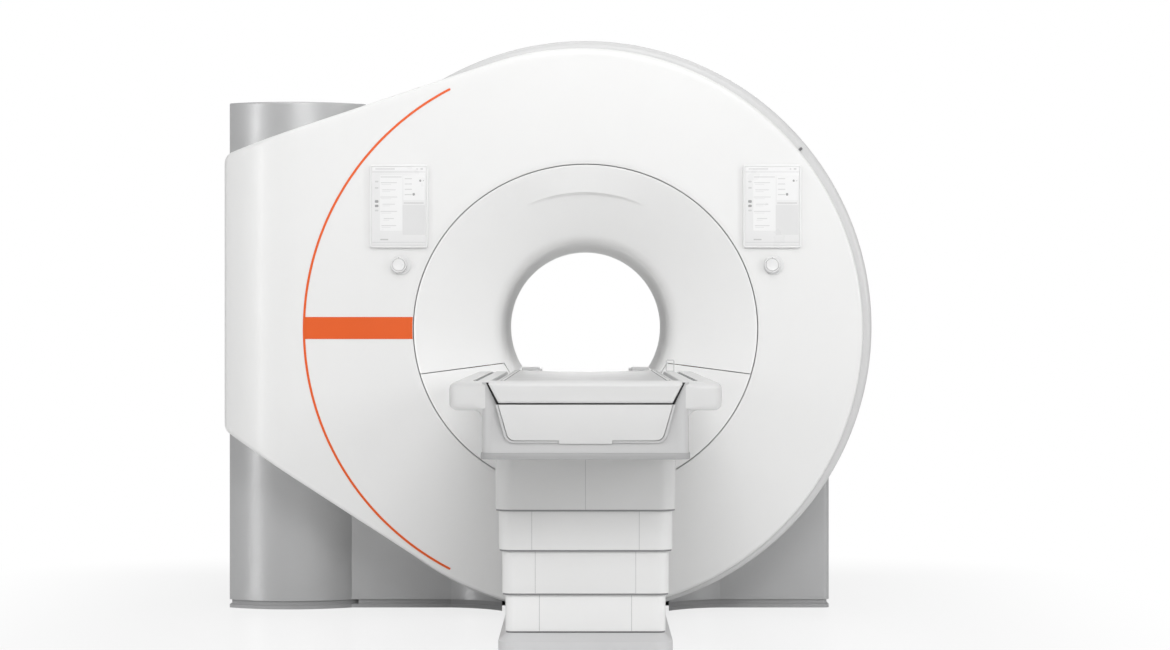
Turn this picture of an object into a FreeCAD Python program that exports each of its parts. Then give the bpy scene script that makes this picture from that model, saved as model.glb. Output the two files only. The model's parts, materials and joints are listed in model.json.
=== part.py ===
import FreeCAD, Part
import math
import operator
import os
import Sketcher

# A closed-bore magnetic resonance scanner with its patient table, in millimetres.
# +Z is up, -Y faces the foot end of the table, and the bore runs along Y.
# The origin lies on the floor, straight below the centre of the magnet.

SIZES = [
    # Bore and gantry
    ("floor_clear", 15, "floor to the underside of the barrel cover"),
    ("bore_radius", 300, "clear radius of the patient bore"),
    ("tube_half", 615, "half the length of the bore tube"),
    ("funnel_depth", 294, "front face to the start of the bore tube"),
    ("rear_depth", 100, "end of the bore tube to the rear face"),
    ("cover_radius", 1005, "outer radius of the gantry covers"),
    ("cover_wall", 8, "thickness of the moulded covers"),
    ("seat_gap", 0.3, "air left between curved pieces that seat on each other"),
    ("seam_gap", 3, "visible joint line between two covers"),
    ("face_inset", 20, "front face's edge inside the barrel cover's"),
    ("face_shift_x", 13, "front face centre to the left of the bore axis"),
    ("face_shift_z", 8, "front face centre below the bore axis"),
    ("face_step", 24, "front face stands in front of the barrel cover"),
    ("face_round", 12, "rounding of the front face's edge"),
    ("shoulder_width", 47, "front shoulder of the barrel cover, across"),
    ("shoulder_round", 20, "rounding of the barrel cover's shoulders"),
    ("funnel_band_x", 401, "barrel cover's outside to the funnel's rim, sideways"),
    ("funnel_band_z", 427, "barrel cover's outside to the funnel's rim, up and down"),
    ("funnel_drop", 7, "funnel rim centre below the bore axis"),
    ("lip_round", 110, "radius of the lip where the funnel turns into the bore"),
    ("lip_rise", 41, "how far the lip stands out from the bore wall"),
    ("lip_run", 86, "length of the lip along the bore"),
    ("split_drop", 93, "joint of the two funnel halves below the axis, at the middle"),
    ("split_fall", 0.124, "slope of that joint towards the sides"),
    ("split_inset", 10, "from the bore's side to the place where that joint turns down"),
    ("split_toe", 38, "from the bore's side to the place where it turns inwards"),
    ("split_low", 183, "lowest part of that joint below the axis"),
    ("rear_round", 100, "radius of the rear funnel"),
    # Wing over the service column
    ("wing_extent", 273, "how far the wing reaches past the barrel cover"),
    ("wing_top", 608, "wing's upper corner above the bore axis"),
    ("wing_bottom", 364, "wing's lower corner below the bore axis"),
    ("wing_turn", 278, "width of the wing's part that curves back"),
    ("wing_curve", 400, "radius of the wing's curved front"),
    ("wing_depth", 600, "depth of the wing behind the front face"),
    ("wing_corner", 42, "rounded upper and lower corner of the wing"),
    # Service column and base covers
    ("column_out", 16, "column's outer side past the wing's edge"),
    ("column_width", 494, "width of the column"),
    ("column_crown", 224, "column's outer side to the middle of its rounded front"),
    ("column_setback", 322, "front face to the column's foremost line"),
    ("column_curve", 370, "radius of the column's rounded front"),
    ("column_round", 6, "rounding of the column's top edge"),
    ("column_rise", 814, "top of the column above the bore axis"),
    ("back_clear", 115, "rear face to the back of the column and the base covers"),
    ("base_setback", 394, "front face to the front of the base covers"),
    ("base_inset", 119, "base cover's side inside the barrel cover's"),
    ("base_inner", 300, "bore axis to the inner end of the base covers"),
    ("base_lap", 100, "how far the left base cover's outline runs on inside the column"),
    ("base_nose_out", 125, "how much further forward the base covers are beside the table"),
    ("base_sweep", 190, "length of the curve that brings the base cover forward"),
    ("base_drop", 474, "bore axis to the top of the base covers"),
    ("base_corner", 20, "rounded corner of the base cover"),
    ("skirt_gap_top", 30, "underside of the base covers"),
    ("skirt_step", 12, "height of the floor skirt"),
    ("skirt_lap", 25, "how far the skirt reaches up behind a cover"),
    # Magnet and coils
    ("magnet_clear", 105, "air between the magnet vessel and the barrel cover's outside"),
    ("magnet_front_clear", 149, "front face to the magnet vessel"),
    ("magnet_back_clear", 105, "magnet vessel to the rear face"),
    ("magnet_round", 70, "rounded end of the magnet vessel"),
    ("magnet_flare", 40, "bevel where the magnet's bore opens"),
    ("liner_wall", 6, "thickness of the bore tube"),
    ("coil_wall", 24, "thickness of the transmit coil"),
    ("coil_end", 195, "end of the bore tube to the end of the transmit coil"),
    ("gradient_wall", 109, "thickness of the gradient coil"),
    ("gradient_end", 25, "end of the bore tube to the end of the gradient coil"),
    ("plate_thickness", 20, "steel plate under the magnet"),
    ("plate_inset", 246, "steel plate's side inside the base cover's"),
    ("plate_front_inset", 75, "front of the base covers to the steel plate"),
    ("plate_back_inset", 130, "steel plate to the back of the base covers"),
    ("foot_spread", 520, "magnet feet from the middle, sideways"),
    ("foot_pitch", 320, "magnet feet from the middle, along the bore"),
    ("foot_width", 160, "magnet foot, sideways"),
    ("foot_length", 140, "magnet foot, along the bore"),
    ("ring_wall", 26, "thickness of the cover support rings"),
    ("turret_radius", 105, "radius of the service turret"),
    ("turret_height", 430, "service turret above the bore axis"),
    ("turret_y", 150, "service turret along the bore"),
    ("turret_inset", 104, "column's outer side to the turret's outer end"),
    ("cold_head_radius", 62, "radius of the cold head"),
    ("cold_head_clear", 51.3, "air over the cold head, under the column's top"),
    ("cold_head_inset", 174, "column's outer side to the middle of the cold head"),
    ("cabinet_width", 230, "electronics cabinet, sideways"),
    ("cabinet_setback", 357, "column's foremost line to the electronics cabinet"),
    ("cabinet_back_inset", 60, "electronics cabinet to the back of the column"),
    ("cabinet_clear", 165, "air between the electronics cabinet and the turret"),
    # Trim, displays and dials
    ("arc_inset", 40, "front face's edge to the middle of the coloured arc"),
    ("arc_width", 8, "width of the coloured arc"),
    ("arc_shift_x", 40, "centre of the arc to the left of the bore axis"),
    ("arc_start", 117.5, "start angle of the arc"),
    ("arc_sweep", 125, "angle that the arc covers"),
    ("trim_proud", 1.2, "how far the coloured trim stands out"),
    ("band_top", 35, "top of the coloured band above the bore axis"),
    ("band_bottom", 42, "bottom of the coloured band below the bore axis"),
    ("display_gap", 48, "funnel's rim to the middle of a display"),
    ("display_z", 422, "middle of a display above the bore axis"),
    ("display_width", 204, "width of a display"),
    ("display_height", 291, "height of a display"),
    ("display_depth", 16, "depth of a display housing"),
    ("display_frame", 7, "visible frame round the display glass"),
    ("display_corner", 6, "rounded corner of a display"),
    ("glass_depth", 4, "thickness of the display glass"),
    ("glass_proud", 0.6, "how far the glass stands out of its frame"),
    ("dial_z", 217, "dials above the bore axis"),
    ("dial_seat_radius", 35, "radius of a dial's fixed seat"),
    ("dial_seat_depth", 4, "thickness of that seat"),
    ("dial_seat_shift", 7, "seat's centre to the right of the dial"),
    ("dial_radius", 28, "outer radius of a dial's ring"),
    ("dial_depth", 24, "height of a dial's ring"),
    ("hub_radius", 21, "radius of the hub that a dial turns on"),
    ("hub_depth", 11, "height of that hub"),
    ("running_gap", 0.05, "radial clearance of a turning or sliding fit"),
    ("cap_depth", 7, "thickness of a dial's push cap"),
    ("cap_travel", 3, "travel of a push cap"),
    ("latch_angle", 39.6, "cover latch above the horizontal, right side"),
    ("latch_length", 12, "cover latch, across the rim"),
    ("latch_width", 9, "cover latch, along the rim"),
    ("latch_depth", 4, "cover latch, height"),
    # Rails in the bore
    ("rail_height", 48, "height of the bore rails"),
    ("rail_clear", 9, "air between the table top's keel and a rail"),
    ("rail_nose", 70, "how far the bore rails reach into the funnel"),
    # Table top
    ("top_drop", 150, "table top's surface below the bore axis"),
    ("top_half", 248, "half width of the table top"),
    ("top_edge", 12, "thickness of the table top's edge"),
    ("keel_half", 165, "half width of the table top's keel"),
    ("keel_depth", 65, "keel's underside below the surface"),
    ("top_length", 1952, "length of the table top"),
    ("top_lead", 12, "how far the table top's head end stands out of the table head"),
    ("top_dish", 6, "depth of the table top's shallow dish"),
    ("cap_length", 70, "length of the table top's end cap"),
    ("cap_wider", 24, "end cap wider than the table top, each side"),
    ("cap_taper", 30, "end cap narrower at the bottom, each side"),
    ("cap_height", 62, "height of the end cap"),
    ("cap_round", 9, "rounding of the end cap's front edges"),
    ("cap_clear", 3, "clearance round the end cap"),
    ("track_inset", 10, "accessory track from the table top's edge"),
    ("track_width", 12, "width of an accessory track"),
    ("track_proud", 1.5, "how far a track stands out"),
    ("socket_length", 44, "coil socket, along the table"),
    ("socket_width", 62, "coil socket, sideways"),
    ("socket_height", 11, "coil socket, height"),
    # Table head
    ("head_wider", 18, "table head wider than the end cap, each side"),
    ("head_lead", 28, "table head's front before the table top's start"),
    ("head_clear", 53, "front face of the gantry to the back of the table head"),
    ("head_height", 220, "table top's surface to the head's underside"),
    ("deck_drop", 5, "deck below the table top's surface"),
    ("trough_floor", 10, "thickness of the floor under the table top"),
    ("head_wall", 14, "thickness of the head's skirt"),
    ("head_corner", 34, "rounded corner of the head"),
    ("flange_height", 17, "height of the bead round the head's underside"),
    ("flange_proud", 3, "how far that bead stands out"),
    ("panel_drop", 66, "top of the front panel below the surface"),
    ("panel_height", 108, "height of the front panel"),
    ("panel_wider", 8, "front panel wider than the end cap's underside, each side"),
    ("panel_taper", 20, "front panel narrower at the bottom, each side"),
    ("panel_corner", 30, "rounded lower corner of the front panel"),
    ("panel_depth", 38, "depth of the front panel"),
    ("panel_frame", 6, "frame round the front panel"),
    ("panel_gap", 1.5, "joint between the front panel and its frame"),
    ("tab_half", 75, "half width of the pull tab at the front panel's lower edge"),
    ("tab_drop", 2, "how far the tab reaches below the frame"),
    ("tab_depth", 20, "depth of that tab"),
    ("seal_width", 3, "width of the dark seal round the end cap"),
    ("seal_drop", 4, "dark seal under the end cap"),
    ("seal_depth", 14, "depth of that seal"),
    ("side_wing_width", 95, "width of a side wing"),
    ("side_wing_setback", 70, "table head's front to the side wings"),
    ("side_wing_height", 80, "height of the side wings"),
    ("side_wing_round", 26, "rounding of the side wings' outer edges"),
    ("gutter_start", 19, "gutter from the table head's side"),
    ("gutter_back", 140, "front end of the gutter behind the wing's front"),
    ("gutter_width", 14, "width of the gutter along a side wing"),
    ("gutter_depth", 9, "depth of that gutter"),
    ("strip_depth", 6, "thickness of the dark strip in a gutter"),
    ("loop_inset", -3, "table head's side to the middle of the strap loop"),
    ("loop_setback", 48, "back of the table head to the strap loop"),
    ("loop_width", 30, "width of the strap loop"),
    ("loop_height", 42, "height of the strap loop"),
    ("loop_bar", 4, "thickness of the strap loop's bar"),
    # Pedestal
    ("pedestal_setback", 415, "table head's front to the widest pedestal cover"),
    ("pedestal_length", 1265, "length of the widest pedestal cover"),
    ("pedestal_inset", 24, "widest pedestal cover's side inside the table head's"),
    ("pedestal_step", 9.8, "each pedestal cover is smaller than the one above, each side"),
    ("pedestal_wall", 4, "thickness of a pedestal cover"),
    ("pedestal_corner", 55, "rounded corner of the widest pedestal cover"),
    ("wiper_height", 6, "height of the wiping lip at a cover's lower edge"),
    ("cover_overlap", 20, "how far a cover reaches into the one above"),
    ("cover_1_drop", 172, "table head's underside to the lower edge of the first cover"),
    ("cover_2_drop", 291, "table head's underside to the lower edge of the second cover"),
    ("cover_3_drop", 420, "table head's underside to the lower edge of the third cover"),
    ("groove_width", 2, "width of a vertical joint line in the covers"),
    ("groove_depth", 1.2, "depth of that line"),
    ("plinth_height", 118, "height of the table's plinth"),
    ("plinth_inset", 8, "plinth's side inside the widest pedestal cover's"),
    ("plinth_slope", 24, "bevel round the plinth's top"),
    ("plinth_corner", 56, "rounded corner of the plinth"),
    # Lifting column and drive
    ("lift_setback", 635, "front of the pedestal to the middle of the lifting column"),
    ("stage_half", 95, "half width of the fixed lifting stage"),
    ("stage_wall", 8, "thickness of a lifting stage"),
    ("stage_fit", 0.5, "sliding clearance between two stages"),
    ("well_floor", 50, "floor of the plinth's well under the lifting column"),
    ("stage_height", 290, "height of the fixed lifting stage"),
    ("stage_middle_drop", 415, "table head's underside to the middle stage's lower end"),
    ("stage_middle_height", 270, "height of the middle stage"),
    ("stage_inner_drop", 248, "table head's underside to the inner stage's lower end"),
    ("drive_width", 180, "drive unit, sideways"),
    ("drive_length", 320, "drive unit, along the table"),
    ("drive_height", 90, "drive unit, height"),
    ("drive_setback", 440, "lifting column to the middle of the drive unit"),
    ("duct_half", 70, "half width of the floor duct"),
    ("duct_height", 12, "height of the floor duct"),
    ("duct_bevel", 6, "bevel of the floor duct"),
]

doc = FreeCAD.newDocument("mri_scanner")
sheet = doc.addObject("Spreadsheet::Sheet", "Dims")
for row, (alias, number, note) in enumerate(SIZES, start=1):
    sheet.set(f"A{row}", note)
    sheet.set(f"B{row}", str(number))
    sheet.setAlias(f"B{row}", alias)
doc.recompute()


class Size:
    """A length with its present value and the spreadsheet formula that gives it."""

    def __init__(self, number, formula):
        self.number = float(number)
        self.formula = formula

    def _with(self, other, sign, compute, swap=False):
        other = as_size(other)
        first, second = (other, self) if swap else (self, other)
        text = f"({first.formula} {sign} {second.formula})"
        return Size(compute(first.number, second.number), text)

    def __add__(self, other):
        return self._with(other, "+", operator.add)

    def __radd__(self, other):
        return self._with(other, "+", operator.add, swap=True)

    def __sub__(self, other):
        return self._with(other, "-", operator.sub)

    def __rsub__(self, other):
        return self._with(other, "-", operator.sub, swap=True)

    def __mul__(self, other):
        return self._with(other, "*", operator.mul)

    def __rmul__(self, other):
        return self._with(other, "*", operator.mul, swap=True)

    def __truediv__(self, other):
        return self._with(other, "/", operator.truediv)

    def __neg__(self):
        return self._with(0, "-", operator.sub, swap=True)


def as_size(value):
    """A plain number as a Size; a Size as it is."""
    return value if isinstance(value, Size) else Size(value, f"{float(value):.6f}")


def root(size):
    """The square root of a Size."""
    return Size(math.sqrt(size.number), f"sqrt({size.formula})")


def chord(radius, offset):
    """Half the chord of a circle at a distance from its centre."""
    return root(radius * radius - offset * offset)


dims = {alias: Size(sheet.get(alias), f"Dims.{alias}") for alias, _, _ in SIZES}


class Named:
    """The driving sizes as attributes."""


d = Named()
for alias, size in dims.items():
    setattr(d, alias, size)

nodes = {}


def node(name, piece):
    """Keeps a finished piece under its own name."""
    piece.Label = name
    nodes[name] = piece
    return piece


def bind(piece, prop, size):
    """Ties one property of a piece to the spreadsheet."""
    piece.setExpression(prop, as_size(size).formula)


def place(piece, x, y, z):
    """Ties a piece's position to the spreadsheet."""
    for axis, size in zip("xyz", (x, y, z)):
        bind(piece, f"Placement.Base.{axis}", size)


def block(name, x, y, z):
    """A block between two limits on each axis."""
    piece = doc.addObject("Part::Box", name)
    for side, (low, high) in zip(("Length", "Width", "Height"), (x, y, z)):
        bind(piece, side, high - low)
    place(piece, x[0], y[0], z[0])
    return piece


TURNS = {
    "X": FreeCAD.Rotation(FreeCAD.Vector(0, 1, 0), 90),
    "Y": FreeCAD.Rotation(FreeCAD.Vector(1, 0, 0), -90),
    "Z": FreeCAD.Rotation(),
}


def rod(name, radius, axis, start, end, across):
    """A cylinder along an axis, from start to end, at the two other coordinates."""
    piece = doc.addObject("Part::Cylinder", name)
    bind(piece, "Radius", radius)
    bind(piece, "Height", end - start)
    piece.Placement = FreeCAD.Placement(FreeCAD.Vector(), TURNS[axis])
    centre = list(across)
    centre.insert("XYZ".index(axis), start)
    place(piece, *centre)
    return piece


def bore_rod(name, radius, start, end):
    """A cylinder on the bore axis."""
    return rod(name, radius, "Y", start, end, (0, d.iso_height))


def joined(kind, name, base, tools):
    """One boolean after another on the same base."""
    for number, tool in enumerate(tools):
        step = doc.addObject(kind, f"{name}_{number}")
        step.Base = base
        step.Tool = tool
        base = step
    return base


def cut(name, base, *tools):
    return joined("Part::Cut", name + "_cut", base, tools)


def fuse(name, base, *tools):
    return joined("Part::Fuse", name + "_fuse", base, tools)


def common(name, base, *tools):
    return joined("Part::Common", name + "_common", base, tools)


def rounded(name, base, radius, choose):
    """Rounds the edges that a test picks, to a radius taken from the sheet."""
    doc.recompute()
    picked = [i for i, edge in enumerate(base.Shape.Edges, start=1) if choose(edge)]
    piece = doc.addObject("Part::Fillet", name + "_round")
    piece.Base = base
    piece.Edges = [(i, radius.number, radius.number) for i in picked]
    return piece


def new_body(name):
    return doc.addObject("PartDesign::Body", name)


def plane_of(body, role):
    return next(f for f in body.Origin.OriginFeatures if f.Role == role)


def arc_centre(start, end, radius, side):
    """Centre of an arc between two points; side is +1 to bulge left of the run."""
    run = end - start
    middle = (start + end) * 0.5
    normal = FreeCAD.Vector(-run.y, run.x, 0).normalize()
    depth = math.sqrt(max(radius * radius - run.Length ** 2 / 4, 0.0))
    return middle - normal * depth * side


def sketch_on(body, name, role, offset, corners, arcs=None):
    """A closed outline on one of the body's own planes.

    corners are pairs of sizes; arcs gives (radius, side) for the run that
    starts at a corner. Each corner is tied to the sheet by its coordinates.
    """
    arcs = arcs or {}
    sketch = body.newObject("Sketcher::SketchObject", name)
    sketch.AttachmentSupport = [(plane_of(body, role), "")]
    sketch.MapMode = "FlatFace"
    bind(sketch, "AttachmentOffset.Base.z", offset)
    points = [FreeCAD.Vector(as_size(u).number, as_size(v).number, 0) for u, v in corners]
    ends = []
    for i, start in enumerate(points):
        end = points[(i + 1) % len(points)]
        if i not in arcs:
            sketch.addGeometry(Part.LineSegment(start, end))
            ends.append((1, 2))
            continue
        radius, side = arcs[i]
        centre = arc_centre(start, end, radius.number, side)
        first, last = (end, start) if side > 0 else (start, end)
        angles = [math.atan2(p.y - centre.y, p.x - centre.x) for p in (first, last)]
        if angles[1] < angles[0]:
            angles[1] += 2 * math.pi
        circle = Part.Circle(centre, FreeCAD.Vector(0, 0, 1), radius.number)
        sketch.addGeometry(Part.ArcOfCircle(circle, angles[0], angles[1]))
        ends.append((2, 1) if side > 0 else (1, 2))
    for i, (u, v) in enumerate(corners):
        before = (i - 1) % len(corners)
        link = Sketcher.Constraint("Coincident", before, ends[before][1], i, ends[i][0])
        sketch.addConstraint(link)
        for kind, size in (("DistanceX", u), ("DistanceY", v)):
            size = as_size(size)
            rule = Sketcher.Constraint(kind, -1, 1, i, ends[i][0], size.number)
            index = sketch.addConstraint(rule)
            sketch.setExpression(f"Constraints[{index}]", size.formula)
    for i, (radius, _) in arcs.items():
        index = sketch.addConstraint(Sketcher.Constraint("Radius", i, radius.number))
        sketch.setExpression(f"Constraints[{index}]", radius.formula)
    return sketch


def pad(body, sketch, length, reverse=False):
    feature = body.newObject("PartDesign::Pad", sketch.Name + "_pad")
    feature.Profile = sketch
    bind(feature, "Length", length)
    feature.Reversed = reverse
    return feature


def prism(name, role, low, high, corners, arcs=None):
    """A body padded from an outline: XY runs up, XZ along Y and YZ along X."""
    body = new_body(name)
    offset = -high if role == "XZ_Plane" else low
    sketch = sketch_on(body, name + "_outline", role, offset, corners, arcs)
    pad(body, sketch, high - low)
    return body


def turned(name, corners, arcs=None):
    """A body revolved about the bore axis; corners are radius and place along Y."""
    body = new_body(name)
    sketch = sketch_on(body, name + "_outline", "XY_Plane", d.iso_height, corners, arcs)
    feature = body.newObject("PartDesign::Revolution", name + "_turn")
    feature.Profile = sketch
    feature.ReferenceAxis = (sketch, ["V_Axis"])
    feature.Angle = 360
    return body


def fillet_body(body, radius, choose):
    """Rounds the edges of a body's last feature that a test picks."""
    doc.recompute()
    base = body.Tip
    names = [f"Edge{i}" for i, e in enumerate(base.Shape.Edges, start=1) if choose(e)]
    feature = body.newObject("PartDesign::Fillet", body.Name + "_fillet")
    feature.Base = (base, names)
    bind(feature, "Radius", radius)
    return feature


def chamfer_body(body, size, choose):
    """Bevels the edges of a body's last feature that a test picks."""
    doc.recompute()
    base = body.Tip
    names = [f"Edge{i}" for i, e in enumerate(base.Shape.Edges, start=1) if choose(e)]
    feature = body.newObject("PartDesign::Chamfer", body.Name + "_chamfer")
    feature.Base = (base, names)
    bind(feature, "Size", size)
    return feature


def along(axis):
    """A test for straight edges parallel to an axis."""
    def check(edge):
        if not isinstance(edge.Curve, (Part.Line, Part.LineSegment)):
            return False
        run = edge.Vertexes[-1].Point - edge.Vertexes[0].Point
        return abs(abs(getattr(run, axis)) - run.Length) < 1e-6
    return check


def in_plane(axis, size):
    """A test for edges that lie in one plane."""
    def check(edge):
        box = edge.BoundBox
        low = getattr(box, axis.upper() + "Min")
        high = getattr(box, axis.upper() + "Max")
        return abs(low - size.number) < 0.01 and abs(high - size.number) < 0.01
    return check


def both(first, second):
    return lambda edge: first(edge) and second(edge)


def mirrored(name, piece):
    """The same piece on the other side of the table's middle plane."""
    copy = doc.addObject("Part::Mirroring", name + "_mirror")
    copy.Source = piece
    copy.Base = FreeCAD.Vector(0, 0, 0)
    copy.Normal = FreeCAD.Vector(1, 0, 0)
    return copy


def pair(name, piece):
    """A piece on the right and its mirror image on the left, each a node."""
    node(name + "_right", piece)
    node(name + "_left", mirrored(name, piece))


def twins(name, piece):
    """A piece and its mirror image, kept together as one node."""
    group = doc.addObject("Part::Compound", name)
    group.Links = [piece, mirrored(name, piece)]
    node(name, group)


# Places that several pieces share
d.iso_height = d.cover_radius + d.floor_clear
front = -(d.tube_half + d.funnel_depth)
rear = d.tube_half + d.rear_depth
shoulder = front + d.face_step
barrel_end = rear - d.rear_depth / 2
top = d.iso_height - d.top_drop
deck = top - d.deck_drop
head_bottom = top - d.head_height
keel_bottom = top - d.keel_depth
trough = keel_bottom - d.seat_gap

d.funnel_half_x = d.cover_radius - d.funnel_band_x
d.funnel_half_z = d.cover_radius - d.funnel_band_z
d.face_radius = d.cover_radius - d.face_inset
d.arc_radius = d.face_radius - d.arc_inset
d.display_x = d.funnel_half_x + d.display_gap
d.wing_reach = d.cover_radius + d.wing_extent
d.wing_start = d.wing_reach - d.wing_turn
d.column_left = d.wing_reach + d.column_out
d.column_right = d.column_left - d.column_width
d.column_middle = d.column_left - d.column_crown
d.column_nose = front + d.column_setback
d.column_height = d.iso_height + d.column_rise
d.base_back = rear - d.back_clear
d.base_front = front + d.base_setback
d.base_nose = d.base_front - d.base_nose_out
d.base_half = d.cover_radius - d.base_inset
d.base_left_end = d.column_right + d.base_lap
d.base_height = d.iso_height - d.base_drop
d.magnet_radius = d.cover_radius - d.magnet_clear
d.magnet_front = front + d.magnet_front_clear
d.magnet_back = rear - d.magnet_back_clear
d.coil_half = d.tube_half - d.coil_end
d.gradient_half = d.tube_half - d.gradient_end
d.plate_half_x = d.base_half - d.plate_inset
d.plate_front = d.base_front + d.plate_front_inset
d.plate_back = d.base_back - d.plate_back_inset
d.turret_end = d.column_left - d.turret_inset
d.cold_head_x = d.column_left - d.cold_head_inset
d.cabinet_front = d.column_nose + d.cabinet_setback
d.cabinet_back = d.base_back - d.cabinet_back_inset
d.cabinet_height = d.iso_height + d.turret_height - d.turret_radius - d.cabinet_clear
d.rail_top = d.top_drop + d.top_edge + d.seat_gap
d.rail_tip = d.keel_half + d.rail_clear
d.split_edge = d.bore_radius - d.split_inset
d.split_foot = d.bore_radius - d.split_toe
d.head_back = front - d.head_clear
d.top_end = d.head_back + d.top_lead
d.top_start = d.top_end - d.top_length
d.cap_front = d.top_start - d.cap_length
d.cap_half_top = d.top_half + d.cap_wider
d.cap_half_bottom = d.cap_half_top - d.cap_taper
d.head_half = d.cap_half_top + d.head_wider
d.head_front = d.top_start - d.head_lead
d.panel_half_bottom = d.cap_half_bottom - d.panel_taper
d.wing_half = d.head_half + d.side_wing_width
d.side_wing_front = d.head_front + d.side_wing_setback
d.loop_x = d.head_half - d.loop_inset
d.loop_y = d.head_back - d.loop_setback
d.pedestal_front = d.head_front + d.pedestal_setback
d.pedestal_back = d.pedestal_front + d.pedestal_length
d.pedestal_half = d.head_half - d.pedestal_inset
d.plinth_half = d.pedestal_half - d.plinth_inset
d.cover_1_bottom = head_bottom - d.cover_1_drop
d.cover_2_bottom = head_bottom - d.cover_2_drop
d.cover_3_bottom = head_bottom - d.cover_3_drop
d.lift_y = d.pedestal_front + d.lift_setback
d.stage_middle_low = head_bottom - d.stage_middle_drop
d.stage_inner_low = head_bottom - d.stage_inner_drop
d.drive_y = d.lift_y + d.drive_setback


def face_outline(name, low, high, inset):
    """The front face and wing in one outline: a circle drawn out to a flat left side."""
    body = new_body(name)
    sketch = body.newObject("Sketcher::SketchObject", name + "_outline")
    sketch.AttachmentSupport = [(plane_of(body, "XZ_Plane"), "")]
    sketch.MapMode = "FlatFace"
    bind(sketch, "AttachmentOffset.Base.z", -high)
    radius = d.face_radius - inset
    centre_x = -d.face_shift_x
    centre_z = d.iso_height - d.face_shift_z
    side = -d.wing_reach + inset
    corners = [
        (side, d.iso_height + d.wing_top - inset),
        (side, d.iso_height - d.wing_bottom + inset),
    ]
    centre = FreeCAD.Vector(centre_x.number, centre_z.number, 0)
    touch = []
    for (u, v), turn in zip(corners, (-1, 1)):
        out = FreeCAD.Vector(u.number, v.number, 0) - centre
        angle = math.atan2(out.y, out.x) + turn * math.acos(radius.number / out.Length)
        touch.append(angle)
    spots = [centre + FreeCAD.Vector(math.cos(a), math.sin(a), 0) * radius.number for a in touch]
    ends = [FreeCAD.Vector(u.number, v.number, 0) for u, v in corners]
    circle = Part.Circle(centre, FreeCAD.Vector(0, 0, 1), radius.number)
    sketch.addGeometry(Part.LineSegment(spots[0], ends[0]))
    sketch.addGeometry(Part.LineSegment(ends[0], ends[1]))
    sketch.addGeometry(Part.LineSegment(ends[1], spots[1]))
    sketch.addGeometry(Part.ArcOfCircle(circle, touch[1], touch[0] + 2 * math.pi))
    rules = [
        ("Coincident", 0, 2, 1, 1), ("Coincident", 1, 2, 2, 1),
        ("Tangent", 2, 2, 3, 1), ("Tangent", 3, 2, 0, 1),
    ]
    for rule in rules:
        sketch.addConstraint(Sketcher.Constraint(*rule))
    fixed = [
        ("DistanceX", 3, 3, centre_x), ("DistanceY", 3, 3, centre_z),
        ("DistanceX", 1, 1, corners[0][0]), ("DistanceY", 1, 1, corners[0][1]),
        ("DistanceX", 1, 2, corners[1][0]), ("DistanceY", 1, 2, corners[1][1]),
    ]
    for kind, geometry, point, size in fixed:
        rule = Sketcher.Constraint(kind, -1, 1, geometry, point, size.number)
        index = sketch.addConstraint(rule)
        sketch.setExpression(f"Constraints[{index}]", size.formula)
    index = sketch.addConstraint(Sketcher.Constraint("Radius", 3, radius.number))
    sketch.setExpression(f"Constraints[{index}]", radius.formula)
    pad(body, sketch, high - low)
    fillet_body(body, d.wing_corner - inset, both(along("y"), lambda e: e.BoundBox.XMax < side.number + 1))
    return body


def face_plan(name, inset):
    """What the front face keeps seen from above: flat, then curved back over the wing."""
    far = d.cover_radius + d.wing_start
    left = -d.wing_reach - d.wing_start / 2
    start = -d.wing_start
    radius = d.wing_curve - inset
    near = front + inset
    turn_y = near + radius - chord(radius, d.wing_reach - d.wing_start)
    corners = [
        (far, near), (far, front + d.wing_depth), (left, front + d.wing_depth),
        (left, turn_y), (-d.wing_reach, turn_y), (start, near),
    ]
    arcs = {4: (radius, -1)}
    return prism(name, "XY_Plane", -d.cover_radius, d.iso_height * 2 + d.cover_radius,
                 corners, arcs)


def ellipse_plug(name, half_x, half_z, low, high):
    """An oval plug along the bore, for the rim of the funnel."""
    ring = doc.addObject("Part::Ellipse", name + "_ring")
    bind(ring, "MajorRadius", half_x)
    bind(ring, "MinorRadius", half_z)
    ring.Placement = FreeCAD.Placement(FreeCAD.Vector(), FreeCAD.Rotation(FreeCAD.Vector(1, 0, 0), 90))
    place(ring, 0, low, d.iso_height - d.funnel_drop)
    plug = doc.addObject("Part::Extrusion", name)
    plug.Base = ring
    plug.Dir = FreeCAD.Vector(0, 1, 0)
    plug.DirMode = "Custom"
    bind(plug, "LengthFwd", high - low)
    plug.Solid = True
    return plug


# Bore tube, coils and magnet: nested rings, each seated in the next
node("bore_liner", cut(
    "bore_liner",
    bore_rod("bore_liner_outer", d.bore_radius + d.liner_wall, -d.tube_half, d.tube_half),
    bore_rod("bore_liner_inner", d.bore_radius, -d.tube_half * 2, d.tube_half * 2)))

coil_in = d.bore_radius + d.liner_wall + d.seat_gap
coil_out = coil_in + d.coil_wall
node("body_coil", turned("body_coil", [
    (coil_in, -d.coil_half), (coil_out, -d.coil_half), (coil_out, d.coil_half), (coil_in, d.coil_half)]))

gradient_in = coil_out + d.seat_gap
gradient_out = gradient_in + d.gradient_wall
node("gradient_coil", turned("gradient_coil", [
    (gradient_in, -d.gradient_half), (gradient_out, -d.gradient_half),
    (gradient_out, d.gradient_half), (gradient_in, d.gradient_half)]))

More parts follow.
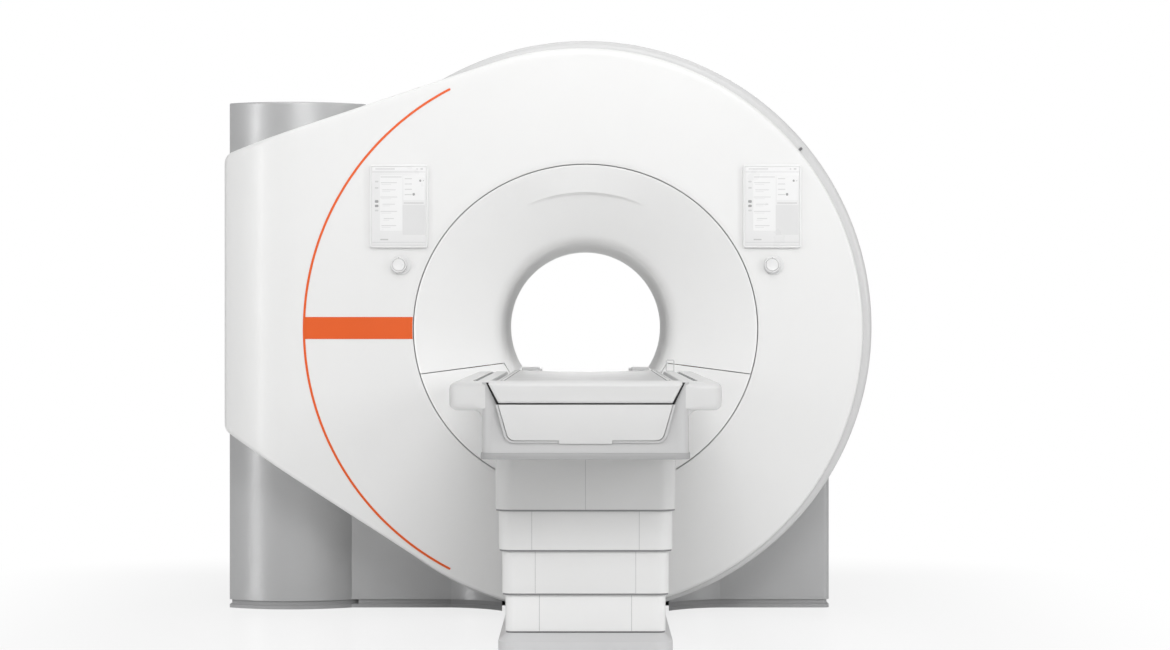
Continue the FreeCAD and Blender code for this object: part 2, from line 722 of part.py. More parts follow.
magnet_in = gradient_out + d.seat_gap
node("magnet_vessel", turned("magnet_vessel", [
    (magnet_in, d.magnet_front + d.magnet_flare), (magnet_in + d.magnet_flare, d.magnet_front),
    (d.magnet_radius - d.magnet_round, d.magnet_front),
    (d.magnet_radius, d.magnet_front + d.magnet_round), (d.magnet_radius, d.magnet_back - d.magnet_round),
    (d.magnet_radius - d.magnet_round, d.magnet_back), (magnet_in, d.magnet_back)],
    {2: (d.magnet_round, -1), 4: (d.magnet_round, -1)}))

node("magnet_plate", block("magnet_plate", (-d.plate_half_x, d.plate_half_x),
                           (d.plate_front, d.plate_back), (0, d.plate_thickness)))

vessel_shape = bore_rod("foot_saddle", d.magnet_radius + d.seat_gap, d.magnet_front, d.magnet_back)
feet = []
for side in (-1, 1):
    for end in (-1, 1):
        middle_x = d.foot_spread * side
        middle_y = d.foot_pitch * end
        feet.append(block(
            f"foot_{len(feet)}",
            (middle_x - d.foot_width / 2, middle_x + d.foot_width / 2),
            (middle_y - d.foot_length / 2, middle_y + d.foot_length / 2),
            (d.plate_thickness, d.iso_height - d.magnet_radius / 2)))
feet_blocks = doc.addObject("Part::MultiFuse", "feet_blocks")
feet_blocks.Shapes = feet
node("magnet_feet", cut("magnet_feet", feet_blocks, vessel_shape))

# Cover support rings between the magnet and the end covers
for name, low, high in (("front_support_ring", front + d.cover_wall, d.magnet_front),
                        ("rear_support_ring", d.magnet_back, rear - d.cover_wall)):
    outer = d.magnet_radius - d.magnet_round - d.ring_wall
    inner = outer - d.ring_wall
    node(name, turned(name, [(inner, low), (outer, low), (outer, high), (inner, high)]))

# Service turret, cold head and electronics cabinet inside the column
turret_z = d.iso_height + d.turret_height
turret_inner = -chord(d.magnet_radius, d.turret_height + d.turret_radius) + d.magnet_round
node("service_turret", cut(
    "service_turret",
    rod("turret_body", d.turret_radius, "X", -d.turret_end, turret_inner, (d.turret_y, turret_z)),
    vessel_shape))
head_low = turret_z + chord(d.turret_radius, d.cold_head_radius)
head_high = d.column_height - d.cover_wall - d.cold_head_clear
head_middle = (head_low + head_high) / 2
cold_parts = [
    rod("cold_stage", d.cold_head_radius, "Z", head_low + d.seat_gap, head_middle,
        (-d.cold_head_x, d.turret_y)),
    rod("cold_drive", d.cold_head_radius * 0.8, "Z", head_middle, head_high, (-d.cold_head_x, d.turret_y)),
]
turret_clear = rod("turret_clear", d.turret_radius + d.seat_gap, "X", -d.turret_end, turret_inner,
                   (d.turret_y, turret_z))
node("cold_head", cut("cold_head", fuse("cold_head", *cold_parts), turret_clear))
skirt_inset = d.cover_wall + d.seat_gap
cabinet_left = -d.column_left + skirt_inset + d.cover_wall + d.seat_gap
node("electronics_cabinet", block(
    "electronics_cabinet", (cabinet_left, cabinet_left + d.cabinet_width),
    (d.cabinet_front, d.cabinet_back), (0, d.cabinet_height)))

# Front face with its wing, and the coloured trim
face_far = front + d.wing_depth
face_solid = common("face_solid", face_outline("face_outer", front, face_far, as_size(0)),
                    face_plan("face_outer_plan", as_size(0)))


def on_front_edge(edge):
    """The outer edge of the front face, flat part and wing alike."""
    box = edge.BoundBox
    flat = abs(box.YMin - front.number) < 0.5 and abs(box.YMax - front.number) < 0.5
    if flat:
        return box.XLength > d.bore_radius.number
    upright = box.XLength < 1 and box.ZLength > d.bore_radius.number
    return box.YMin > front.number - 1 and box.YMax < front.number + 200 and not upright and box.XLength > 15


face_rounded = rounded("face", face_solid, d.face_round, on_front_edge)
face_hollow = common("face_hollow", face_outline("face_inner", front, face_far + d.cover_wall, d.cover_wall),
                     face_plan("face_inner_plan", d.cover_wall))
barrel_space = bore_rod("barrel_space", d.cover_radius + d.seat_gap, shoulder, face_far + d.cover_wall)
rim_hole = ellipse_plug("rim_hole", d.funnel_half_x, d.funnel_half_z, front - d.cover_wall, face_far)


def column_outline(name, grow, low, high):
    """The service column seen from above: rounded front, straight sides."""
    radius = d.column_curve + grow
    centre_y = d.column_nose + d.column_curve
    left = d.column_left + grow
    right = d.column_right - grow
    corners = [
        (-left, centre_y - chord(radius, left - d.column_middle)),
        (-right, centre_y - chord(radius, d.column_middle - right)),
        (-right, d.base_back + grow), (-left, d.base_back + grow),
    ]
    return prism(name, "XY_Plane", low, high, corners, {0: (radius, -1)})


def base_outline(name, grow, low, high):
    """The base cover beside the table seen from above, open towards the middle."""
    corners = [
        (d.base_inner, d.base_nose - grow), (d.base_inner + d.base_sweep, d.base_front - grow),
        (d.base_half + grow, d.base_front - grow), (d.base_half + grow, d.base_back + grow),
        (d.base_inner, d.base_back + grow),
    ]
    sweep = root(d.base_sweep * d.base_sweep + (d.base_front - d.base_nose) * (d.base_front - d.base_nose))
    body = prism(name, "XY_Plane", low, high, corners, {0: (sweep * 1.2, 1)})
    fillet_body(body, d.base_corner + grow,
                both(along("z"), lambda e: e.BoundBox.XMin > (d.base_half + grow).number - 1))
    return body


def base_left_outline(name, grow, low, high):
    """The base cover between the table and the column seen from above."""
    corners = [
        (-d.base_inner, d.base_nose - grow), (-d.base_inner, d.base_back + grow),
        (-d.base_left_end - grow, d.base_back + grow), (-d.base_left_end - grow, d.base_front - grow),
        (-d.base_inner - d.base_sweep, d.base_front - grow),
    ]
    sweep = root(d.base_sweep * d.base_sweep + (d.base_front - d.base_nose) * (d.base_front - d.base_nose))
    whole = prism(name, "XY_Plane", low, high, corners, {4: (sweep * 1.2, 1)})
    column = column_outline(name + "_column", d.seat_gap - grow, low - d.cover_wall, high + d.cover_wall)
    return cut(name + "_plan", whole, column)


column_space = column_outline("column_space", d.seat_gap, as_size(0), d.iso_height * 2)
base_space = base_left_outline("base_space", d.seat_gap, as_size(0), d.base_height + d.seat_gap)
node("front_cover", cut("front_cover", face_rounded, face_hollow, barrel_space, rim_hole, column_space,
                        base_space))

arc_at = (-d.arc_shift_x, d.iso_height - d.funnel_drop)
arc_near = front - d.trim_proud
arc_outer = d.arc_radius + d.arc_width / 2
arc_inner = d.arc_radius - d.arc_width / 2
arc_sector = doc.addObject("Part::Cylinder", "arc_sector")
bind(arc_sector, "Radius", arc_outer)
bind(arc_sector, "Height", d.trim_proud)
bind(arc_sector, "Angle", d.arc_sweep)
turn = FreeCAD.Rotation(FreeCAD.Vector(0, 0, 1), d.arc_start.number)
arc_sector.Placement = FreeCAD.Placement(FreeCAD.Vector(), TURNS["Y"].multiply(turn))
place(arc_sector, arc_at[0], arc_near, arc_at[1])
arc_strip = cut("arc_strip", arc_sector, rod("arc_hole", arc_inner, "Y", arc_near * 2, as_size(0), arc_at))
arc_caps = []
for number in (0, 1):
    angle = math.radians(-(d.arc_start.number + d.arc_sweep.number * number))
    centre_x = arc_at[0] + d.arc_radius * math.cos(angle)
    centre_z = arc_at[1] + d.arc_radius * math.sin(angle)
    arc_caps.append(rod(f"arc_cap_{number}", d.arc_width / 2, "Y", arc_near, front, (centre_x, centre_z)))
node("accent_arc", fuse("accent_arc", arc_strip, *arc_caps))

band_block = block("band_block", (-d.cover_radius, -d.funnel_half_x * 0.9), (arc_near, front),
                   (d.iso_height - d.band_bottom, d.iso_height + d.band_top))
band_disc = rod("band_disc", arc_inner, "Y", arc_near, front, arc_at)
band_hole = ellipse_plug("band_hole", d.funnel_half_x + d.seam_gap / 2, d.funnel_half_z + d.seam_gap / 2,
                         front - d.cover_wall, face_far)
node("accent_band", cut("accent_band", common("accent_band", band_block, band_disc), band_hole))

# Barrel cover, its opening over the magnet feet and the service turret
shoulder_in = d.cover_radius - d.shoulder_width
barrel_skin = turned("barrel_skin", [
    (shoulder_in, shoulder), (d.cover_radius - d.shoulder_round, shoulder),
    (d.cover_radius, shoulder + d.shoulder_round), (d.cover_radius, barrel_end),
    (d.cover_radius - d.cover_wall, barrel_end),
    (d.cover_radius - d.cover_wall, shoulder + d.shoulder_round),
    (d.cover_radius - d.shoulder_round, shoulder + d.cover_wall), (shoulder_in, shoulder + d.cover_wall)],
    {1: (d.shoulder_round, -1), 5: (d.shoulder_round - d.cover_wall, 1)})
under_front = d.base_front + d.cover_wall
under_back = d.base_back - d.cover_wall
feet_hole = block("feet_hole", (-d.base_half + d.cover_wall, d.base_half - d.cover_wall),
                  (under_front, under_back), (-d.cover_wall, d.base_height - d.base_corner))
turret_hole = rod("turret_hole", d.turret_radius + d.face_step, "X", -d.turret_end, as_size(0),
                  (d.turret_y, turret_z))
node("barrel_cover", cut("barrel_cover", barrel_skin, feet_hole, turret_hole))

# Funnel into the bore, in two halves
lip_radius = d.bore_radius + d.lip_rise
lip_y = -d.tube_half - d.lip_run
rim_out = d.funnel_half_x + d.seam_gap
wall_slope = d.cover_wall * 1.3
funnel_shell = turned("funnel_shell", [
    (rim_out, front), (lip_radius, lip_y), (d.bore_radius, -d.tube_half),
    (d.bore_radius + d.cover_wall, -d.tube_half), (lip_radius + d.cover_wall, lip_y + d.cover_wall * 0.8),
    (rim_out, front + wall_slope)],
    {1: (d.lip_round, 1), 3: (d.lip_round - d.cover_wall, -1)})
funnel_plug = ellipse_plug("funnel_plug", d.funnel_half_x - d.seam_gap, d.funnel_half_z - d.seam_gap,
                           front - d.cover_wall, as_size(0))
funnel_whole = common("funnel_whole", funnel_shell, funnel_plug)


def split_wedge(name, drop):
    """Everything below the joint of the two funnel halves."""
    far = rim_out + d.seam_gap
    low = d.iso_height - far
    line = d.iso_height - d.split_drop - drop - far * d.split_fall
    ridge = d.iso_height - d.split_drop - drop - d.split_edge * d.split_fall
    foot = d.iso_height - d.split_low - drop
    return prism(name, "XZ_Plane", front - d.cover_wall, as_size(0),
                 [(-far, low), (far, low), (far, line), (d.split_edge, ridge), (d.split_foot, foot),
                  (-d.split_foot, foot), (-d.split_edge, ridge), (-far, line)])


rail_top = d.iso_height - d.rail_top
rail_low = rail_top - d.rail_height
nose_start = -d.tube_half - d.rail_nose
node("funnel_upper", cut("funnel_upper", funnel_whole, split_wedge("upper_split", as_size(0))))
lower_shell = common("funnel_lower_shell", funnel_whole, split_wedge("lower_split", d.seam_gap))
node("funnel_lower", lower_shell)

# Rails that carry the table top through the bore
rail_block = block("rail_block", (d.rail_tip, lip_radius), (nose_start, d.tube_half), (rail_low, rail_top))
bore_void = turned("bore_void", [
    (0, lip_y), (lip_radius - d.seat_gap, lip_y), (d.bore_radius - d.seat_gap, -d.tube_half),
    (d.bore_radius - d.seat_gap, d.tube_half), (0, d.tube_half)], {1: (d.lip_round, 1)})
rail_solid = common("rail", rail_block, bore_void)
rail_nose = both(in_plane("y", nose_start), lambda e: e.BoundBox.XMin < d.rail_tip.number + 1)
twins("bore_rails", rounded("bore_rail", rail_solid, d.rail_height / 6, rail_nose))

# Rear cover and rear funnel
rear_rim = d.bore_radius + d.rear_round
node("rear_cover", turned("rear_cover", [
    (rear_rim + d.seam_gap, rear), (d.cover_radius - d.shoulder_round, rear),
    (d.cover_radius, rear - d.shoulder_round), (d.cover_radius, barrel_end + d.seam_gap / 10),
    (d.cover_radius - d.cover_wall, barrel_end + d.seam_gap / 10),
    (d.cover_radius - d.cover_wall, rear - d.shoulder_round),
    (d.cover_radius - d.shoulder_round, rear - d.cover_wall), (rear_rim + d.seam_gap, rear - d.cover_wall)],
    {1: (d.shoulder_round, 1), 5: (d.shoulder_round - d.cover_wall, -1)}))
node("rear_funnel", turned("rear_funnel", [
    (d.bore_radius, d.tube_half), (rear_rim, rear), (rear_rim + d.seam_gap, rear),
    (rear_rim + d.seam_gap, rear - d.cover_wall), (rear_rim, rear - d.cover_wall),
    (d.bore_radius + d.cover_wall, d.tube_half)],
    {0: (d.rear_round, 1), 4: (d.rear_round - d.cover_wall, -1)}))

# Service column: a rounded shell that stands on its skirt
barrel_clear = bore_rod("barrel_clear", d.cover_radius + d.seat_gap, front, rear)
column_shell = column_outline("column_shell", as_size(0), d.skirt_gap_top, d.column_height)
fillet_body(column_shell, d.column_round, in_plane("z", d.column_height))
column_hollow = column_outline("column_hollow", -d.cover_wall, as_size(0), d.column_height - d.cover_wall)
node("column_cover", cut("column_cover", column_shell, column_hollow, barrel_clear))


def shell_of(name, outline, inset, wall, low, high, gone=()):
    """A wall that follows an outline, with the inside open."""
    inner = outline(name + "_inner", -inset - wall, low - d.cover_wall, high + d.cover_wall)
    return cut(name, outline(name + "_outer", -inset, low, high), inner, *gone)


flush = as_size(0)
skirt_wall = skirt_inset + d.cover_wall
skirt_top = d.skirt_gap_top + d.skirt_lap
for side, outline in (("right", base_outline), ("left", base_left_outline)):
    node(f"base_cover_{side}", shell_of(f"base_cover_{side}", outline, flush, d.cover_wall, d.skirt_gap_top,
                                        d.base_height, [barrel_clear]))
    low_part = shell_of(f"skirt_{side}_low", outline, flush, skirt_wall, flush, d.skirt_step)
    tall_part = shell_of(f"skirt_{side}_tall", outline, skirt_inset, d.cover_wall, flush, skirt_top,
                         [barrel_clear])
    node(f"base_skirt_{side}", fuse(f"skirt_{side}", low_part, tall_part))
column_low = shell_of("column_foot", column_outline, flush, skirt_wall, flush, d.skirt_step)
column_tall = shell_of("column_toe", column_outline, skirt_inset, d.cover_wall, flush, skirt_top)
node("column_skirt", fuse("column_skirt", column_low, column_tall))

# Displays and dials on the front face, right side first
display_near = front - d.display_depth
glass_seat = display_near + d.glass_depth - d.glass_proud


def display(side, centre_x):
    """A display housing with its glass set into the front."""
    low_x = centre_x - d.display_width / 2
    high_x = centre_x + d.display_width / 2
    low_z = d.iso_height + d.display_z - d.display_height / 2
    high_z = low_z + d.display_height
    housing = prism(f"display_{side}", "XZ_Plane", display_near, front,
                    [(low_x, low_z), (high_x, low_z), (high_x, high_z), (low_x, high_z)])
    fillet_body(housing, d.display_corner, along("y"))
    frame = d.display_frame
    recess = block(f"display_recess_{side}", (low_x + frame, high_x - frame),
                   (display_near - frame, glass_seat), (low_z + frame, high_z - frame))
    node(f"display_housing_{side}", cut(f"display_housing_{side}", housing, recess))
    node(f"display_glass_{side}", block(
        f"glass_{side}", (low_x + frame, high_x - frame), (display_near - d.glass_proud, glass_seat),
        (low_z + frame, high_z - frame)))


def dial(side, centre_x):
    """A fixed seat with a hub, the ring that turns on it and the push cap inside."""
    at = (centre_x, d.iso_height + d.dial_z)
    seat_face = front - d.dial_seat_depth
    hub_face = seat_face - d.hub_depth
    ring_face = front - d.dial_depth
    seat = rod(f"dial_seat_disc_{side}", d.dial_seat_radius, "Y", seat_face, front,
               (centre_x + d.dial_seat_shift, at[1]))
    hub = rod(f"dial_hub_{side}", d.hub_radius, "Y", hub_face, front, at)
    node(f"dial_seat_{side}", fuse(f"dial_seat_{side}", seat, hub))
    ring = rod(f"dial_ring_outer_{side}", d.dial_radius, "Y", ring_face, seat_face - d.seat_gap, at)
    ring_hole = rod(f"dial_ring_hole_{side}", d.hub_radius + d.running_gap, "Y",
                    ring_face - d.dial_depth, front, at)
    rim = both(in_plane("y", ring_face), lambda edge: edge.BoundBox.XLength > d.dial_radius.number * 1.8)
    node(f"dial_ring_{side}", rounded(f"dial_ring_{side}", cut(f"dial_ring_{side}", ring, ring_hole),
                                      d.cap_travel, rim))
    cap_face = hub_face - d.cap_travel - d.seat_gap - d.cap_depth
    cap = rod(f"dial_cap_body_{side}", d.hub_radius, "Y", cap_face, cap_face + d.cap_depth, at)
    node(f"dial_cap_{side}", rounded(f"dial_cap_{side}", cap, d.cap_travel / 2, in_plane("y", cap_face)))


for side, centre_x in (("right", d.display_x), ("left", -d.display_x)):
    display(side, centre_x)
    dial(side, centre_x)

latch_middle = d.cover_radius - d.shoulder_round - d.latch_length / 2
latch_block = doc.addObject("Part::Box", "latch_block")
bind(latch_block, "Length", d.latch_length)
bind(latch_block, "Width", d.latch_depth)
bind(latch_block, "Height", d.latch_width)
latch_turn = FreeCAD.Rotation(FreeCAD.Vector(0, 1, 0), -d.latch_angle.number)
latch_offset = latch_turn.multVec(FreeCAD.Vector(latch_middle.number - d.latch_length.number / 2, 0,
                                                 -d.latch_width.number / 2))
latch_block.Placement = FreeCAD.Placement(
    FreeCAD.Vector(latch_offset.x, (shoulder - d.latch_depth).number, latch_offset.z + d.iso_height.number),
    latch_turn)
latch_space = bore_rod("latch_space", d.cover_radius - d.shoulder_round, front, shoulder)
node("cover_latch", common("cover_latch", latch_block, latch_space))

# Table top: thin edges, a keel that runs between the bore rails, and an end cap
node("table_top", prism("table_top", "XZ_Plane", d.top_start, d.top_end, [
    (-d.top_half, top - d.top_edge), (-d.keel_half, top - d.top_edge),
    (-d.keel_half + d.top_edge, keel_bottom), (d.keel_half - d.top_edge, keel_bottom),
    (d.keel_half, top - d.top_edge), (d.top_half, top - d.top_edge), (d.top_half, top),
    (d.top_half - d.top_edge * 3, top), (-d.top_half + d.top_edge * 3, top), (-d.top_half, top)],
    {7: ((d.top_half - d.top_edge * 3) * (d.top_half - d.top_edge * 3) / d.top_dish / 2, 1)}))

cap_body = prism("end_cap", "XZ_Plane", d.cap_front, d.top_start, [
    (-d.cap_half_bottom, top - d.cap_height), (d.cap_half_bottom, top - d.cap_height),
    (d.cap_half_top, top), (-d.cap_half_top, top)])
fillet_body(cap_body, d.cap_round, in_plane("y", d.cap_front))
node("top_end_cap", cap_body)

track_high = d.top_half - d.track_inset
track_low = track_high - d.track_width
twins("accessory_tracks", block("accessory_track", (track_low, track_high), (d.top_start, d.top_end),
                                (top, top + d.track_proud)))
socket_high = track_low - d.track_inset / 2
socket = block("socket_block", (socket_high - d.socket_width, socket_high),
               (d.top_end - d.socket_length, d.top_end), (top, top + d.socket_height))
socket_top = in_plane("z", top + d.socket_height)
twins("coil_sockets", rounded("coil_socket", socket, d.socket_height / 3, socket_top))

# Table head: trough for the table top, hollow skirt, bead and front panel
trough_half_top = d.cap_half_top + d.cap_clear
trough_half_low = d.cap_half_bottom + d.cap_clear
head_outer = prism("head_outer", "XY_Plane", head_bottom, deck, [
    (-d.head_half, d.head_front), (d.head_half, d.head_front), (d.head_half, d.head_back),
    (-d.head_half, d.head_back)])


def front_corner(edge):
    """An upright edge at the table's foot end."""
    return along("z")(edge) and edge.BoundBox.YMax < d.lift_y.number


def bead_edge(edge):
    """An edge that runs round the bead's top or underside, but not along its back."""
    return edge.BoundBox.ZLength < 0.01 and edge.BoundBox.YMin < d.head_back.number - 1


fillet_body(head_outer, d.head_corner, front_corner)
bead_low = head_bottom
bead_high = head_bottom + d.flange_height
bead = prism("head_bead_body", "XY_Plane", bead_low, bead_high, [
    (-d.head_half - d.flange_proud, d.head_front - d.flange_proud),
    (d.head_half + d.flange_proud, d.head_front - d.flange_proud),
    (d.head_half + d.flange_proud, d.head_back), (-d.head_half - d.flange_proud, d.head_back)])
fillet_body(bead, d.head_corner + d.flange_proud, front_corner)
fillet_body(bead, d.flange_proud * 0.9, bead_edge)
trough_cut = prism("trough_cut", "XZ_Plane", d.head_front - d.head_half, as_size(0), [
    (-trough_half_low, trough), (trough_half_low, trough), (trough_half_top, top), (-trough_half_top, top)])
hollow = block("head_hollow", (-d.head_half + d.head_wall, d.head_half - d.head_wall),
               (d.head_front + d.head_wall, d.head_back - d.head_wall),
               (head_bottom - d.head_wall, trough - d.trough_floor))
node("head_shell", cut("head_shell", fuse("head", head_outer, bead), trough_cut, hollow))

panel_top = top - d.panel_drop
panel_low = panel_top - d.panel_height
panel_near = d.head_front - d.panel_depth


def panel_outline(name, grow, low, high, corner):
    """The front panel: wide at the top, rounded at the lower corners."""
    top_half = d.cap_half_bottom + d.panel_wider
    body = prism(name, "XZ_Plane", low, high, [
        (-d.panel_half_bottom - grow, panel_low - grow), (d.panel_half_bottom + grow, panel_low - grow),
        (top_half + grow, panel_top), (-top_half - grow, panel_top)])
    fillet_body(body, corner + grow,
                both(along("y"), lambda e: e.BoundBox.ZMax < panel_low.number + d.panel_corner.number))
    return body


frame_gap = -d.panel_frame - d.panel_gap
panel_face = panel_outline("panel_face", frame_gap, panel_near, d.head_front, d.panel_corner)
tab_back = panel_near + d.tab_depth
tab = block("panel_tab", (-d.tab_half, d.tab_half), (panel_near, tab_back),
            (panel_low - d.tab_drop, panel_low + d.panel_frame * 2))
node("front_panel", fuse("front_panel", panel_face, tab))
frame_body = panel_outline("frame_body", as_size(0), panel_near + d.panel_gap, d.head_front, d.panel_corner)
panel_space = panel_outline("panel_space", -d.panel_frame, panel_near - d.panel_depth, d.head_front,
                            d.panel_corner)
tab_space = block("tab_space", (-d.tab_half - d.panel_gap, d.tab_half + d.panel_gap),
                  (panel_near - d.panel_depth, tab_back + d.panel_gap),
                  (panel_low - d.tab_drop * 2, panel_low + d.panel_frame * 2))
node("front_panel_frame", cut("front_panel_frame", frame_body, panel_space, tab_space))

seal_near = d.head_front - d.seal_depth
seal_grow = d.cap_clear + d.seal_width
seal_body = prism("seal_body", "XZ_Plane", seal_near, d.head_front, [
    (-d.cap_half_bottom - seal_grow, top - d.cap_height - d.seal_drop),
    (d.cap_half_bottom + seal_grow, top - d.cap_height - d.seal_drop),
    (d.cap_half_top + seal_grow, deck), (-d.cap_half_top - seal_grow, deck)])
seal_space = prism("seal_space", "XZ_Plane", seal_near - d.seal_depth, d.head_front + d.seal_depth, [
    (-d.cap_half_bottom - d.panel_gap, top - d.cap_height - d.panel_gap / 3),
    (d.cap_half_bottom + d.panel_gap, top - d.cap_height - d.panel_gap / 3),
    (d.cap_half_top + d.panel_gap, top), (-d.cap_half_top - d.panel_gap, top)])
node("end_cap_seal", cut("end_cap_seal", seal_body, seal_space))

# Side wings with their gutters and dark strips
wing_top_z = deck
wing_low_z = wing_top_z - d.side_wing_height
side_wing = prism("side_wing", "XZ_Plane", d.side_wing_front, d.head_back, [
    (d.head_half, wing_low_z - d.side_wing_round), (d.head_half + d.side_wing_round, wing_low_z),
    (d.wing_half, wing_low_z), (d.wing_half, wing_top_z), (d.head_half, wing_top_z)],
    {0: (d.side_wing_round, 1)})
fillet_body(side_wing, d.side_wing_round * 0.8,
            both(along("y"), lambda e: e.BoundBox.XMin > d.wing_half.number - 1))
fillet_body(side_wing, d.side_wing_round * 0.9,
            both(in_plane("y", d.side_wing_front), lambda e: e.BoundBox.XMax > d.head_half.number + 1))
gutter_low = d.head_half + d.gutter_start
gutter_high = gutter_low + d.gutter_width
gutter_cut = block("gutter_cut", (gutter_low, gutter_high), (d.side_wing_front + d.gutter_back, as_size(0)),
                   (wing_top_z - d.gutter_depth, wing_top_z + d.gutter_depth))
pair("side_wing", cut("side_wing", side_wing, gutter_cut))
twins("gutter_strips", block("gutter_strip", (gutter_low, gutter_high),
                             (d.side_wing_front + d.gutter_back, d.head_back),
                             (wing_top_z - d.gutter_depth, wing_top_z - d.gutter_depth + d.strip_depth)))

loop_outer = block("loop_outer", (d.loop_x - d.loop_width / 2, d.loop_x + d.loop_width / 2),
                   (d.loop_y - d.loop_bar / 2, d.loop_y + d.loop_bar / 2), (deck, deck + d.loop_height))
loop_round = rounded("loop", loop_outer, d.loop_bar * 1.5,
                     both(along("y"), lambda e: e.BoundBox.ZMin > deck.number + 1))
loop_half = d.loop_width / 2 - d.loop_bar
loop_hole = block("loop_hole", (d.loop_x - loop_half, d.loop_x + loop_half),
                  (d.loop_y - d.loop_bar, d.loop_y + d.loop_bar),
                  (deck + d.loop_bar, deck + d.loop_height - d.loop_bar))
node("strap_loop", cut("strap_loop", loop_round, loop_hole))

# Pedestal: plinth, four telescoping covers, lifting stages, drive unit and floor duct
plinth_low = d.duct_height + d.seat_gap
plinth = prism("plinth", "XY_Plane", plinth_low, d.plinth_height, [
    (-d.plinth_half, d.pedestal_front), (d.plinth_half, d.pedestal_front),
    (d.plinth_half, d.pedestal_back), (-d.plinth_half, d.pedestal_back)])
fillet_body(plinth, d.plinth_corner, along("z"))
chamfer_body(plinth, d.plinth_slope, in_plane("z", d.plinth_height))
toe = block("plinth_toe_block",
            (-d.plinth_half + d.plinth_slope, d.plinth_half - d.plinth_slope),
            (d.pedestal_front + d.plinth_slope, d.pedestal_back - d.plinth_slope), (0, plinth_low))
well_half = d.stage_half + d.seat_gap
well = block("plinth_well", (-well_half, well_half), (d.lift_y - well_half, d.lift_y + well_half),
             (d.well_floor, d.plinth_height * 2))
node("table_plinth", cut("table_plinth", fuse("table_plinth", plinth, toe), well))


def pedestal_block(name, inset, low, high):
    """A block with rounded corners, smaller than the widest cover by the inset."""
    half = d.pedestal_half - inset
    near = d.pedestal_front + inset
    far = d.pedestal_back - inset
    body = prism(name, "XY_Plane", low, high, [(-half, near), (half, near), (half, far), (-half, far)])
    fillet_body(body, d.pedestal_corner - inset, along("z"))
    return body


lower_edges = [d.cover_1_bottom, d.cover_2_bottom, d.cover_3_bottom, d.plinth_height]
upper_edges = [head_bottom, d.cover_1_bottom, d.cover_2_bottom, d.cover_3_bottom]
joint_lines = [(0,), (-158, 158), (-148, 148), (-136, 136)]
for number in range(4):
    name = f"pedestal_cover_{number + 1}"
    inset = d.pedestal_step * number
    low = lower_edges[number]
    high = upper_edges[number] + d.cover_overlap
    last = number == 3
    inner = pedestal_block(name + "_inner", inset + d.pedestal_wall, low - d.wiper_height,
                           high + d.wiper_height)
    wall = cut(name + "_wall", pedestal_block(name + "_outer", inset, low, high), inner)
    lip_inset = inset + d.pedestal_step - d.seat_gap
    lip = cut(name + "_lip", pedestal_block(name + "_lip_outer", inset, low, low + d.wiper_height),
              pedestal_block(name + "_lip_inner", lip_inset, low - d.wiper_height, low + d.wiper_height * 2))
    lines = []
    for x in joint_lines[number]:
        lines.append(block(f"{name}_line_{len(lines)}", (x - d.groove_width / 2, x + d.groove_width / 2),
                           (d.pedestal_front - d.groove_width, d.pedestal_front + inset + d.groove_depth),
                           (low - d.wiper_height, high + d.wiper_height)))
    node(name, cut(name, fuse(name, wall, lip), *lines))


def stage(name, inset, low, high, capped):
    """A square lifting stage; the innermost one is closed at the top."""
    half = d.stage_half - inset
    inner = half - d.stage_wall
    outer = block(name + "_outer", (-half, half), (d.lift_y - half, d.lift_y + half), (low, high))
    inside = block(name + "_inside", (-inner, inner), (d.lift_y - inner, d.lift_y + inner),
                   (low - d.stage_wall, high - d.stage_wall if capped else high + d.stage_wall))
    return cut(name, outer, inside)


stage_step = d.stage_wall + d.stage_fit
node("lift_stage_fixed", stage("lift_stage_fixed", as_size(0), d.well_floor, d.well_floor + d.stage_height,
                               False))
node("lift_stage_middle", stage("lift_stage_middle", stage_step, d.stage_middle_low,
                                d.stage_middle_low + d.stage_middle_height, False))
drive_top = trough - d.trough_floor
node("lift_stage_inner", stage("lift_stage_inner", stage_step * 2, d.stage_inner_low, drive_top, True))
drive_block = block("drive_block", (-d.drive_width / 2, d.drive_width / 2),
                    (d.drive_y - d.drive_length / 2, d.drive_y + d.drive_length / 2),
                    (drive_top - d.drive_height, drive_top))
node("table_drive", rounded("table_drive", drive_block, d.drive_height / 6,
                            in_plane("z", drive_top - d.drive_height)))
duct = prism("duct", "XZ_Plane", d.pedestal_back - d.plinth_slope, d.plate_front, [
    (-d.duct_half, 0), (d.duct_half, 0), (d.duct_half - d.duct_bevel, d.duct_height),
    (-d.duct_half + d.duct_bevel, d.duct_height)])
node("floor_duct", duct)


doc.recompute()
for item in doc.Objects:
    if {"Invalid", "Error"} & set(item.State):
        raise RuntimeError(f"{item.Name} failed: {item.State}")
for name, piece in nodes.items():
    if piece.Shape.isNull() or not piece.Shape.isValid():
        raise RuntimeError(f"{name} has no valid solid")

os.makedirs("parts", exist_ok=True)
for name, piece in nodes.items():
    piece.Shape.exportStep(f"parts/{name}.step")
    box = piece.Shape.optimalBoundingBox(False)
    print(f"{name}: {len(piece.Shape.Solids)} solids, {piece.Shape.Volume / 1e6:.2f} litres, "
          f"x {box.XMin:.1f} {box.XMax:.1f} y {box.YMin:.1f} {box.YMax:.1f} z {box.ZMin:.1f} {box.ZMax:.1f}")
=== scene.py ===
import json
import math

